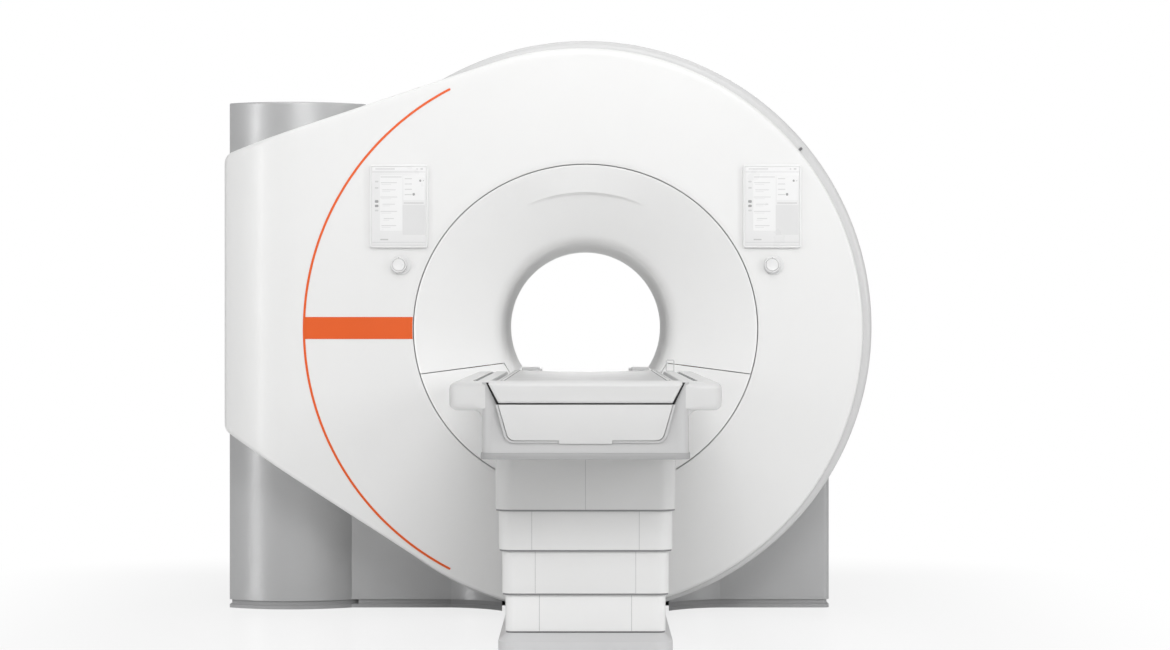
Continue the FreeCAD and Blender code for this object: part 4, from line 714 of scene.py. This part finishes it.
def bore_rails():
    """The rails in the bore: a thin shelf whose underside falls away to the wall."""
    tip, top, shelf, keel = 0.174, 0.8577, 0.8200, 0.8098
    nose, back = -0.6600, TUBE_HALF - 0.0005
    stations = [(nose, 0.004), (nose + 0.0010, 0.0018), (nose + 0.0028, 0.0006), (nose + 0.0058, 0.0),
                (nose + 0.015, 0.0), (nose + 0.030, 0.0), (-TUBE_HALF, 0.0), (0.0, 0.0), (back, 0.0)]
    for sign, side in ((-1, "left"), (1, "right")):
        rings = []
        for y, inset in stations:
            past = max(0.0, -TUBE_HALF - y)
            wall = BORE + LIP_ROUND - math.sqrt(LIP_ROUND ** 2 - past ** 2) + 0.002
            ring = [(tip + inset + 0.003, top - inset), (tip + inset, top - inset - 0.003),
                    (tip + inset, shelf + inset + 0.002), (tip + inset + 0.002, shelf + inset),
                    (tip + 0.016 + inset, keel + inset * 0.6)]
            low = math.asin((keel + inset * 0.6 - AXIS) / wall)
            high = math.asin((top - inset - AXIS) / wall)
            ring += arc_points((0.0, AXIS), wall, math.degrees(low), math.degrees(high), 8)
            rings.append([(sign * x, y, z) for x, z in ring])
        name = f"bore_rail_{side}_shelf"
        loft(name, rings, "gantry", "rail_white", caps=True, angle=35)
    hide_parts("bore_rails")


# -------- trim

def accent_arc():
    """The thin coloured arc along the wing's side, with rounded ends."""
    centre = (-ARC_SHIFT, AXIS - RIM_DROP)
    stop = ARC_START + ARC_SWEEP
    steps, end_steps = 220, 12

    def rounded_end(at, turn):
        hub = arc_points(centre, ARC_RADIUS, at, at, 1)[0]
        return arc_points(hub, ARC_HALF, turn, turn + 180, end_steps)[1:-1]

    path = arc_points(centre, ARC_RADIUS + ARC_HALF, ARC_START, stop, steps)
    path += rounded_end(stop, stop)
    path += arc_points(centre, ARC_RADIUS - ARC_HALF, stop, ARC_START, steps)
    path += rounded_end(ARC_START, ARC_START + 180)
    count = len(path)
    points = [(x, FRONT - TRIM, z) for x, z in path] + [(x, face_y(x) + 0.0005, z) for x, z in path]
    faces = [(i, (i + 1) % count, count + (i + 1) % count, count + i) for i in range(count)]
    inner = steps + end_steps
    for k in range(steps):
        faces.append((k + 1, k, inner + steps - k, inner + steps - k - 1))
    faces.append(tuple(range(inner, steps - 1, -1)))
    faces.append((0, *range(count - 1, inner + steps - 1, -1)))
    mesh_piece("accent_arc_strip", points, faces, "gantry", "accent_orange", replaces=("accent_arc",))


def accent_band():
    """The coloured band from the arc to the funnel's rim."""
    middle_z = AXIS - RIM_DROP
    band_out = ARC_RADIUS - ARC_HALF + 0.0005
    rows = []
    for k in range(25):
        z = AXIS - BAND_LOW + (BAND_LOW + BAND_HIGH) * k / 24
        left = -ARC_SHIFT - math.sqrt(band_out ** 2 - (z - middle_z) ** 2)
        dz = (z - middle_z) / (RIM_Z + SEAM / 2)
        right = -(RIM_X + SEAM / 2) * math.sqrt(1 - dz * dz)
        rows.append([(left + (right - left) * i / 12, FRONT - TRIM, z) for i in range(13)])
    back_rows = [[(x, FRONT + 0.0002, z) for x, _, z in row] for row in rows]
    sheet_shell("accent_band_strip", rows, back_rows, "gantry", "accent_orange", replaces=("accent_band",))


# -------- displays and dials

# A screen's areas: name, place from the display's middle, width, height, look, corner radius and layer
TILES = [
    ("bar", 0.0, 0.13, 0.184, 0.011, "pale", 0.001, 1),
    ("title", -0.048, 0.13, 0.068, 0.0036, "soft", 0.001, 2),
    ("status_a", 0.08, 0.13, 0.01, 0.004, "line", 0.0019, 2),
    ("status_b", 0.064, 0.13, 0.006, 0.004, "soft", 0.0019, 2),
    ("bar_edge", 0.0, 0.1195, 0.186, 0.0014, "line", 0.0004, 1),
    ("page", -0.027, 0.011, 0.078, 0.194, "pale", 0.003, 1),
    ("page_head", -0.027, 0.102, 0.074, 0.003, "soft", 0.001, 2),
    ("icon_a", -0.0775, 0.0165, 0.0125, 0.0095, "dark", 0.003, 1),
    ("icon_b", -0.0775, 0.001, 0.0125, 0.0085, "dark", 0.003, 1),
    ("icon_c", -0.0775, -0.015, 0.0125, 0.006, "soft", 0.0025, 1),
    ("icon_d", -0.0775, 0.086, 0.0125, 0.006, "soft", 0.0025, 1),
    ("icon_e", -0.0775, 0.064, 0.0125, 0.006, "soft", 0.0025, 1),
    ("list_page", 0.053, 0.064, 0.074, 0.086, "pale", 0.002, 1),
    ("dot_a", 0.075, 0.089, 0.007, 0.008, "dark", 0.0034, 2),
    ("dot_b", 0.052, 0.0415, 0.0085, 0.0095, "dark", 0.004, 2),
    ("dot_c", 0.086, 0.089, 0.004, 0.004, "line", 0.0019, 2),
    ("block", 0.052, -0.048, 0.078, 0.104, "block", 0.002, 1),
    ("block_head", 0.052, 0.011, 0.07, 0.003, "line", 0.001, 1),
    ("footer_a", -0.051, -0.1165, 0.028, 0.0044, "line", 0.0015, 1),
    ("footer_edge", 0.0, -0.126, 0.186, 0.0012, "line", 0.0004, 1),
]
for row, wide in enumerate((0.056, 0.048, 0.06, 0.044, 0.058, 0.036, 0.052)):
    down = 0.025 * row
    TILES.append((f"line_{row}", -0.035, 0.082 - down, wide, 0.0022, "soft", 0.0009, 2))
    TILES.append((f"line_{row}_short", -0.044, 0.076 - down, wide * 0.6, 0.0018, "block", 0.0008, 2))
for row in range(4):
    TILES.append((f"entry_{row}", 0.033, 0.096 - 0.0185 * row, 0.026, 0.0028, "soft", 0.001, 2))


def display(side, middle):
    """A display: its housing, its glass, and the areas that the screen shows, as thin tiles."""
    z = AXIS + DISPLAY_Z
    near = FRONT - DISPLAY_DEPTH
    well = near + 0.0034
    half_x, half_z = DISPLAY_HALF_X, DISPLAY_HALF_Z
    corners = rectangle(middle - half_x, middle + half_x, z - half_z, z + half_z)
    steps = [(0.0, FRONT), (0.0, near + 0.004), (0.0003, near + 0.0025), (0.0012, near + 0.001),
             (0.0028, near), (DISPLAY_FRAME - 0.0012, near), (DISPLAY_FRAME - 0.0003, near + 0.0006),
             (DISPLAY_FRAME, well)]
    rings = []
    for inset, y in steps:
        ring = round_corners(shrink(corners, inset), max(DISPLAY_CORNER - inset, 0.002), 8)
        rings.append([(px, y, pz) for px, pz in ring])
    loft(f"display_housing_{side}_shell", rings, "gantry", "display_frame", caps=True, angle=45,
         replaces=(f"display_housing_{side}",))
    glass_y = near - 0.0006
    glass = shrink(corners, DISPLAY_FRAME + 0.0003)
    slab(f"display_glass_{side}_pane", glass, 0.003, glass_y, well, "gantry", "display_glass",
         soft_low=0.0006, steps=4, axis="y", angle=32, replaces=(f"display_glass_{side}",))
    for label, dx, dz, width, height, look, radius, layer in TILES:
        x, high = middle + dx, z + dz
        area = rectangle(x - width / 2, x + width / 2, high - height / 2, high + height / 2)
        slab(f"display_{side}_{label}", area, radius, glass_y - 0.0002 * layer, glass_y, "gantry",
             "display_glass", steps=3, axis="y", mat=M["screen_" + look], angle=32)


def dial(side, middle):
    """A dial: its seat and hub, the knurled ring that turns, and the cap that is pushed."""
    at = (middle, AXIS + DIAL_Z)
    seat_at = (middle + SEAT_SHIFT, at[1])
    seat_y, near, cap_y = FRONT - DIAL_SEAT, FRONT - DIAL_RING, FRONT - DIAL_CAP
    seat = [(0.035, DIAL_SEAT), (0.035, 0.0014), (0.0346, 0.0005), (0.0338, 0.0), (0.029, 0.0)]
    disc(f"dial_seat_{side}_disc", seat, seat_y, seat_at, "gantry", "dial_grey",
         replaces=(f"dial_seat_{side}",))
    hub = [(0.0209, 0.001), (0.0209, -0.0108), (0.0205, -0.011)]
    disc(f"dial_hub_{side}_disc", hub, seat_y, at, "gantry", "dial_grey")

    back = DIAL_RING - DIAL_SEAT - 0.0003
    profile = [(0.0277, back), (DIAL_RADIUS, back - 0.0004), (DIAL_RADIUS, 0.006), (0.0279, 0.003),
               (0.0272, 0.0012), (0.0262, 0.0003), (0.025, 0.0), (0.0238, 0.0002), (0.0226, 0.001),
               (0.0216, 0.0024), (0.02105, 0.004), (0.02105, back)]
    rings = []
    for radius, deep in profile:
        sunk = radius - (DIAL_KNURL if radius == DIAL_RADIUS else 0.0)
        high, low = turned_rings([(radius, near + deep), (sunk, near + deep)], 120, at)
        rings.append([low[i] if i % 4 < 2 else p for i, p in enumerate(high)])
    loft(f"dial_ring_{side}_rim", rings, f"dial_{side}", "dial_grey", loop=True,
         replaces=(f"dial_ring_{side}",))

    cap = [(0.0209, 0.007), (0.0209, 0.0014), (0.0206, 0.0006), (0.0198, 0.0001), (0.0188, 0.0),
           (0.015, 0.0002), (0.0145, 0.0006), (0.0141, 0.0002), (0.008, 0.0007), (0.0001, 0.001)]
    disc(f"dial_cap_{side}_face", cap, cap_y, at, f"push_{side}", "dial_cap", replaces=(f"dial_cap_{side}",))
    mark = [(0.0013, 0.0012), (0.0013, -0.0001), (0.0009, -0.0003)]
    disc(f"dial_mark_{side}", mark, near, (at[0], at[1] + MARK_RISE), f"dial_{side}", "latch_dark", count=16)


# -------- table

def table_board():
    """The table top: a board with a shallow dish and a keel."""
    half, edge, keel = 0.248, 0.012, 0.165
    soft = 0.0015
    under = TOP - edge
    keel_z = TOP - 0.065
    inner = half - 0.036
    dish = []
    for k in range(25):
        x = inner - 2 * inner * k / 24
        dish.append((x, TOP - 0.006 * (1 - (x / inner) ** 2)))
    profile = [(-half, TOP - soft), (-half, under + 0.004), (-half + 0.004, under), (-keel - 0.003, under),
               (-keel + edge, keel_z), (keel - edge, keel_z), (keel + 0.003, under), (half - 0.004, under),
               (half, under + 0.004), (half, TOP - soft), (half - soft, TOP)] + dish + [(-half + soft, TOP)]
    stations = [TOP_START, TOP_START + 0.4, TOP_START + 0.9, TOP_END - 0.4, TOP_END - 0.01, TOP_END]
    rings = []
    for y in stations:
        pull = 0.003 if y == TOP_END else 0.0
        rings.append([(x * (1 - pull), y, z if z < TOP - 0.02 else z - pull * 0.3) for x, z in profile])
    loft("table_top_board", rings, "table_board", "table_white", caps=True, mat=M["board_white"],
         angle=30, replaces=("table_top",))


def end_cap():
    """The table top's end cap, whose upper front edge is well rounded."""
    corners = [(-0.242, TOP - 0.062), (0.242, TOP - 0.062), (0.272, TOP), (-0.272, TOP)]
    edge, crown, crown_drop, side = 0.009, 0.036, 0.015, 0.03
    rings = []
    for deep in (0.0, 0.0004, 0.0015, 0.0032, 0.0055, edge, 0.014, 0.02, 0.027, crown):
        out = 1 - min(deep / edge, 1.0)
        inset = edge * (1 - math.sqrt(1 - out * out))
        dip = 1 - deep / crown
        drop = crown_drop * (1 - math.sqrt(1 - dip * dip))
        ring = []
        for x, z in round_corners(shrink(corners, inset), [0.007, 0.007, 0.004, 0.004], 6):
            share = max(0.0, (z - TOP + side) / side)
            ring.append((x, CAP_FRONT + deep, z - max(0.0, drop - inset) * share))
        rings.append(ring)
    rings.append([(x, TOP_START - 0.0004, z) for x, y, z in rings[-1]])
    loft("top_end_cap_body", rings, "table_board", "table_white", caps=True, replaces=("top_end_cap",))


def accessory_track(sign, side):
    """A track along the table top's edge: a dark base with a light rail in it."""
    x0, x1 = sorted((sign * TRACK_IN, sign * TRACK_OUT))
    near, far = TOP_START + 0.0004, TOP_END - 0.004
    track = slab(f"accessory_track_{side}_base", rectangle(x0, x1, near, far), 0, TOP - 0.0004, TOP + 0.0004,
                 "table_board", "strip_grey", steps=2, mat=M["track_dark"])
    slab(f"accessory_track_{side}_rail", rectangle(x0 + 0.0025, x1 - 0.0025, near, far - 0.003), 0.001,
         TOP + 0.0002, TOP + 0.0015, "table_board", "table_white", soft_high=0.0006, steps=3)
    if side == "right":
        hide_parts("accessory_tracks")


def coil_socket(sign, side):
    """A coil socket at the table top's head end, with two lids."""
    x0, x1 = sorted((sign * SOCKET_IN, sign * SOCKET_OUT))
    near, far = TOP_END - SOCKET_LONG, TOP_END
    high = TOP + SOCKET_HIGH
    base = slab(f"coil_socket_{side}_base", rectangle(x0, x1, near, far), 0.004, TOP - 0.0005, high,
                "table_board", "table_grey", soft_high=0.0035, steps=5)
    if side == "right":
        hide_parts("coil_sockets")
    for n in range(2):
        middle = (x0 + x1) / 2 + (n - 0.5) * 0.026
        lid = rectangle(middle - 0.0105, middle + 0.0105, near + 0.008, far - 0.009)
        slab(f"coil_socket_{side}_lid_{n}", lid, 0.002, high - 0.0005, high, "table_board", "strip_grey",
             steps=4, mat=M["track_dark"])


# -------- table head

def panel_y(z):
    """How far forward the front panel stands: it bows back below its upper edge."""
    return PANEL_FRONT + PANEL_BOW * (max(0.0, PANEL_TOP - z) / (PANEL_TOP - TAB_LOW)) ** 1.6


def panel_edge(grow):
    """Right half of the front panel's outline from the pull tab's end: (x, z) points."""
    low = PANEL_LOW - grow
    foot, half = PANEL_FOOT + grow, PANEL_HALF + grow
    corners = [(-foot, low), (foot, low), (half, PANEL_TOP), (-half, PANEL_TOP)]
    corner_steps = 14
    edge = round_corners(corners, [0.0, 0.03 + grow, 0.0, 0.0], corner_steps)[1:corner_steps + 3]
    tab = (TAB_HALF + 0.0015, low)
    run = [between(tab, (edge[0][0], low), k / 6) for k in range(6)]
    return run + edge[:-1] + [between(edge[-2], edge[-1], k / 6) for k in range(1, 7)]


def front_panel():
    """The bowed front panel with its pull tab, and the frame round it in two halves."""
    edge = panel_edge(-0.0075)
    low = edge[0][1]
    levels = [(TAB_HALF - 0.0008, TAB_LOW), (TAB_HALF, TAB_LOW + 0.001), (TAB_HALF, low - 0.0002)]
    levels.append((max(x for x, z in edge if z <= low + 1e-5), low))
    levels += [p for p in edge if p[1] > low + 1e-5]
    front, back = [], []
    for half, z in levels:
        y = panel_y(z)
        row = [(half * (k / 10 - 1), y, z) for k in range(1, 20)]
        front.append([(-half, y + 0.0016, z), (-half + 0.0012, y + 0.0003, z)] + row
                     + [(half - 0.0012, y + 0.0003, z), (half, y + 0.0016, z)])
        back.append([(x, HEAD_FRONT - 0.001, z) for x, _y, _z in front[-1]])
    sheet_shell("front_panel_skin", front, back, "table_head", "table_grey", mat=M["panel_white"],
                replaces=("front_panel",))
    outer = panel_edge(0.0)
    inner = panel_edge(-0.006)
    for sign, side in ((-1, "left"), (1, "right")):
        rails = []
        for path, deep in ((outer, 0.03), (outer, 0.003), (outer, 0.0018), (inner, 0.0015), (inner, 0.03)):
            rails.append([(sign * x, panel_y(z) + deep, z) for x, z in path])
        loft(f"front_panel_frame_{side}", rails, "table_head", "table_grey", ring_closed=False,
                           loop=True)
    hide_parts("front_panel_frame")


def head_bead():
    """The rounded bead along the underside of the table head, its dark grey painted shade."""
    profile = [(0.002, 0.0002), (0.003, 0.0), (0.0036, 0.002), (0.0037, 0.008), (0.0036, 0.0155),
               (0.0028, 0.0172), (0.0018, 0.0178), (-0.001, 0.0178), (-0.001, 0.0002)]
    rings = []
    for proud, rise in profile:
        side, near = HEAD_HALF + proud, HEAD_FRONT - proud
        corner = HEAD_CORNER + proud
        path = round_corners([(-side, HEAD_BACK), (-side, near), (side, near), (side, HEAD_BACK)],
                             [0, corner, corner, 0], 10)
        rings.append([(x, y, BEAD_LOW + rise) for x, y in path])
    loft("head_bead", rings, "table_head", "table_grey", ring_closed=False, loop=True, mat=M["bead_painted_shade"])


def side_edge(y):
    """How far a side wing reaches out: it starts at the head's corner and sweeps to its full width."""
    if y < SIDE_BEND:
        return SIDE_INNER + (y - SIDE_NOSE) * SIDE_SPLAY
    late = max(0.0, 1 - (y - SIDE_BEND) / (SIDE_TURN - SIDE_BEND))
    return SIDE_OUTER - (SIDE_OUTER - SIDE_INNER - (SIDE_BEND - SIDE_NOSE) * SIDE_SPLAY) * late ** 2


def side_ring(y, depth):
    """A side wing's outline at a place along the table, with its gutter to a depth: (x, z) points."""
    edge = side_edge(y)
    bulge = min(1.0, (edge - SIDE_INNER) / (SIDE_OUTER - SIDE_INNER))
    bulge = math.sqrt(max(0.0, 1 - (1 - bulge) ** 2))
    high = SIDE_TOP - 0.012 * (1 - bulge)
    foot = SIDE_FOOT + 0.01 * (1 - bulge)
    radius = min(0.021, (edge - SIDE_INNER) * 0.45)
    flank = min(HEAD_HALF, edge - radius * 1.02)
    gusset = foot - 0.026 * min(1.0, bulge * 1.2)
    heel = min(HEAD_HALF + 0.026, edge - radius * 1.01)
    ring = [(SIDE_INNER, gusset), (flank, gusset)]
    for k in range(1, 7):
        a = math.radians(180 - 90 * k / 6)
        ring.append((heel + (heel - flank) * math.cos(a), gusset + (foot - gusset) * math.sin(a)))
    ring += arc_points((edge - radius, foot + radius), radius, -90, 0, 6)
    ring += arc_points((edge - radius, high - radius), radius, 0, 90, 6)
    outer = min(GUTTER_OUT, edge - radius * 1.005)
    inner = min(GUTTER_IN, outer - 0.0001)
    return ring + [(outer, high), (outer, high - depth), (inner, high - depth), (inner, high),
                   (SIDE_INNER, high)]


def side_wings():
    """The side wings, whose fronts sweep back from the table head."""
    places = [SIDE_NOSE + far for far in (0.0008, 0.003, 0.008, 0.016, 0.028, 0.042, 0.056)]
    places += [SIDE_BEND + far for far in (0.0, 0.005, 0.01, 0.016, 0.022)]
    stations = [(y, 0.0) for y in (*places, SIDE_TURN, SIDE_TURN + 0.03, GUTTER_START)]
    stations += [(y, GUTTER_DEPTH) for y in (GUTTER_START, -1.8, HEAD_BACK - 0.001)]
    for sign, side in ((-1, "left"), (1, "right")):
        rings = [[(sign * x, y, z) for x, z in side_ring(y, depth)] for y, depth in stations]
        loft(f"side_wing_{side}_skin", rings, "table_head", "table_white", caps=True,
             replaces=(f"side_wing_{side}",))


# -------- pedestal

def pedestal_cover(n):
    """One of the pedestal's covers: its skin, the dark lip under it, a real lip whose dark colour is also
    painted shade for the gap under the cover, and its joint lines.
    """
    step = COVER_STEP * n
    half, corner = COVER_HALF - step, COVER_CORNER - step
    near, far = COVER_NEAR + step, COVER_FAR - step
    edge, high, body = COVER_LOWS[n], COVER_HIGHS[n], COVER_BODIES[n]
    low = edge + COVER_LIP
    rim = low + 0.0002

    def sleeve(name, profile, paint, **rest):
        rings = []
        for inset, z in profile:
            flat = shrink(rectangle(-half, half, near, far), inset)
            rings.append([(x, y, z) for x, y in round_corners(flat, max(corner - inset, 0.004), 10)])
        loft(name, rings, body, "pedestal_white", loop=True, mat=M[paint], angle=35, **rest)

    skin = [(0.004, low), (0.0015, low), (0.0004, low + 0.0006), (0.0, low + 0.002), (0.0, high),
            (0.004, high)]
    # The top and bottom covers get painted shade and painted light through their paints in COVER_PAINTS
    sleeve(f"pedestal_cover_{n + 1}_skin", skin, COVER_PAINTS[n], replaces=(f"pedestal_cover_{n + 1}",))
    # The lip's dark colour is painted shade for the gap under the cover
    lip = [(0.0091, edge), (0.0024, edge), (0.002, edge + 0.0006), (0.002, rim), (0.0091, rim)]
    sleeve(f"pedestal_lip_{n + 1}", lip, "lip_dark")
    for k, x in enumerate(COVER_LINES[n]):
        line = rectangle(x - LINE_HALF, x + LINE_HALF, near - 0.0002, near + 0.0006)
        slab(f"pedestal_joint_{n + 1}_{k}", line, 0, low + 0.0008, high - 0.001, body, "pedestal_white",
             mat=M["joint_grey"], steps=2, angle=32)


# -------- the machine

front_cover()
barrel()
rear()
funnel()
bore()
bore_rails()
accent_arc()
accent_band()
for side, sign in (("right", 1), ("left", -1)):
    display(side, sign * DISPLAY_X)
    dial(side, sign * DISPLAY_X)
table_board()
end_cap()
for sign, side in ((-1, "left"), (1, "right")):
    accessory_track(sign, side)
    coil_socket(sign, side)
front_panel()
head_bead()
side_wings()
for n in range(4):
    pedestal_cover(n)


# -------- floor, light and camera

def maths(tree, kind, *values):
    """A maths node's result; its values are numbers or outputs of other nodes."""
    return add_node(tree, "Math", dict(enumerate(values)), operation=kind).outputs[0]


def floor_fade(tree, coords):
    """How far the floor has faded to white: least under the machine, and fully from a ring round it."""
    parts = add_node(tree, "SeparateXYZ", {0: coords})
    away = []
    for middle, reach, axis in ((-0.20, 1.10, 0), (-1.10, 1.75, 1)):
        off = maths(tree, "ABSOLUTE", maths(tree, "SUBTRACT", parts.outputs[axis], middle))
        out = maths(tree, "MAXIMUM", maths(tree, "SUBTRACT", off, reach), 0.0)
        away.append(maths(tree, "MULTIPLY", out, out))
    far = maths(tree, "SQRT", maths(tree, "ADD", *away))
    return spread(tree, far, 0.78, 1.0, start=0.0, end=1.3, interpolation_type="SMOOTHSTEP")


def pale_floor():
    """A plain pale floor that takes the machine's shadow and runs out into white."""
    half = 60.0
    corners = [(x, y, 0) for x, y in rectangle(-half, half, -half, half)]
    mesh = bpy.data.meshes.new("floor")
    mesh.from_pydata(corners, [], [(0, 1, 2, 3)])
    floor = add_object("floor", mesh)
    mat, tree, shader, coords = shader_material("floor_white")
    cloud = spread(tree, noise(tree, coords, FLOOR_CLOUDS), 0.0, 1.0)
    tone = blend_colors(tree, cloud, (0.93, 0.93, 0.93, 1), (0.95, 0.95, 0.95, 1))
    feed(tree, shader, {"Base Color": tone, "Roughness": 0.16, "Specular IOR Level": 0.4})
    seen = add_node(tree, "LightPath", {}).outputs["Is Camera Ray"]
    glow = add_node(tree, "Emission", {"Color": (1, 1, 1, 1), "Strength": 1.0})
    share = maths(tree, "MULTIPLY", floor_fade(tree, coords), seen)
    mix = add_node(tree, "MixShader", {"Fac": share, 1: shader.outputs[0], 2: glow.outputs[0]})
    feed(tree, tree.nodes["Material Output"], {"Surface": mix.outputs[0]})
    mesh.materials.append(mat)


def studio_world():
    """White to the camera, and a soft light from all round to everything else."""
    world = bpy.data.worlds.new("studio")
    bpy.context.scene.world = world
    world.use_nodes = True
    tree = world.node_tree
    tree.nodes.clear()
    seen = add_node(tree, "LightPath", {}).outputs["Is Camera Ray"]
    soft, white = (add_node(tree, "Background", {"Color": (1, 1, 1, 1), "Strength": strength})
                   for strength in (0.44, 1.0))
    mix = add_node(tree, "MixShader", {"Fac": seen, 1: soft.outputs[0], 2: white.outputs[0]})
    add_node(tree, "OutputWorld", {"Surface": mix.outputs[0]})


def area_light(name, place, aim, size, power):
    """A rectangular soft light at a place, turned to a point."""
    data = bpy.data.lights.new(name, "AREA")
    data.shape = "RECTANGLE"
    data.size, data.size_y = size
    data.energy = power
    lamp = add_object(name, data)
    lamp.location = place
    lamp.rotation_euler = (Vector(aim) - Vector(place)).to_track_quat("-Z", "Y").to_euler()


pale_floor()
studio_world()
area_light("key", (-1.2, -5.6, 5.2), (0, -1.0, 1.2), (4.5, 2.5), 60)
area_light("fill", (5.2, -5.0, 2.6), (0.2, -1.0, 0.8), (2.0, 2.5), 82)
area_light("top", (0, -0.8, 5.2), (0, -0.8, 0), (5.0, 5.0), 66)
area_light("side", (-5.2, -4.6, 1.7), (-1.1, -0.5, 1.1), (0.7, 3.2), 44)
area_light("front", (0.6, -8.6, 4.0), (0, -2.0, 0.7), (3.4, 1.8), 165)
area_light("rear", (0.5, 6.0, 3.2), (0, 0.7, 1.0), (3.0, 3.0), 88)

# The photograph's view: 88 mm on a full frame, 10.9 m before the magnet's centre, level with the bore
PHOTO_WIDTH = 1170
camera = bpy.data.cameras.new("camera")
camera.sensor_width = 36
camera.lens = 88.0
camera.shift_x = -0.5 / PHOTO_WIDTH
camera.shift_y = 2.0 / PHOTO_WIDTH
camera.clip_end = 200
viewer = add_object("camera", camera)
viewer.location = (0, -10.915, AXIS)
viewer.rotation_euler = (math.radians(90), 0, 0)
bpy.context.scene.camera = viewer
bpy.context.scene.view_settings.view_transform = "Standard"
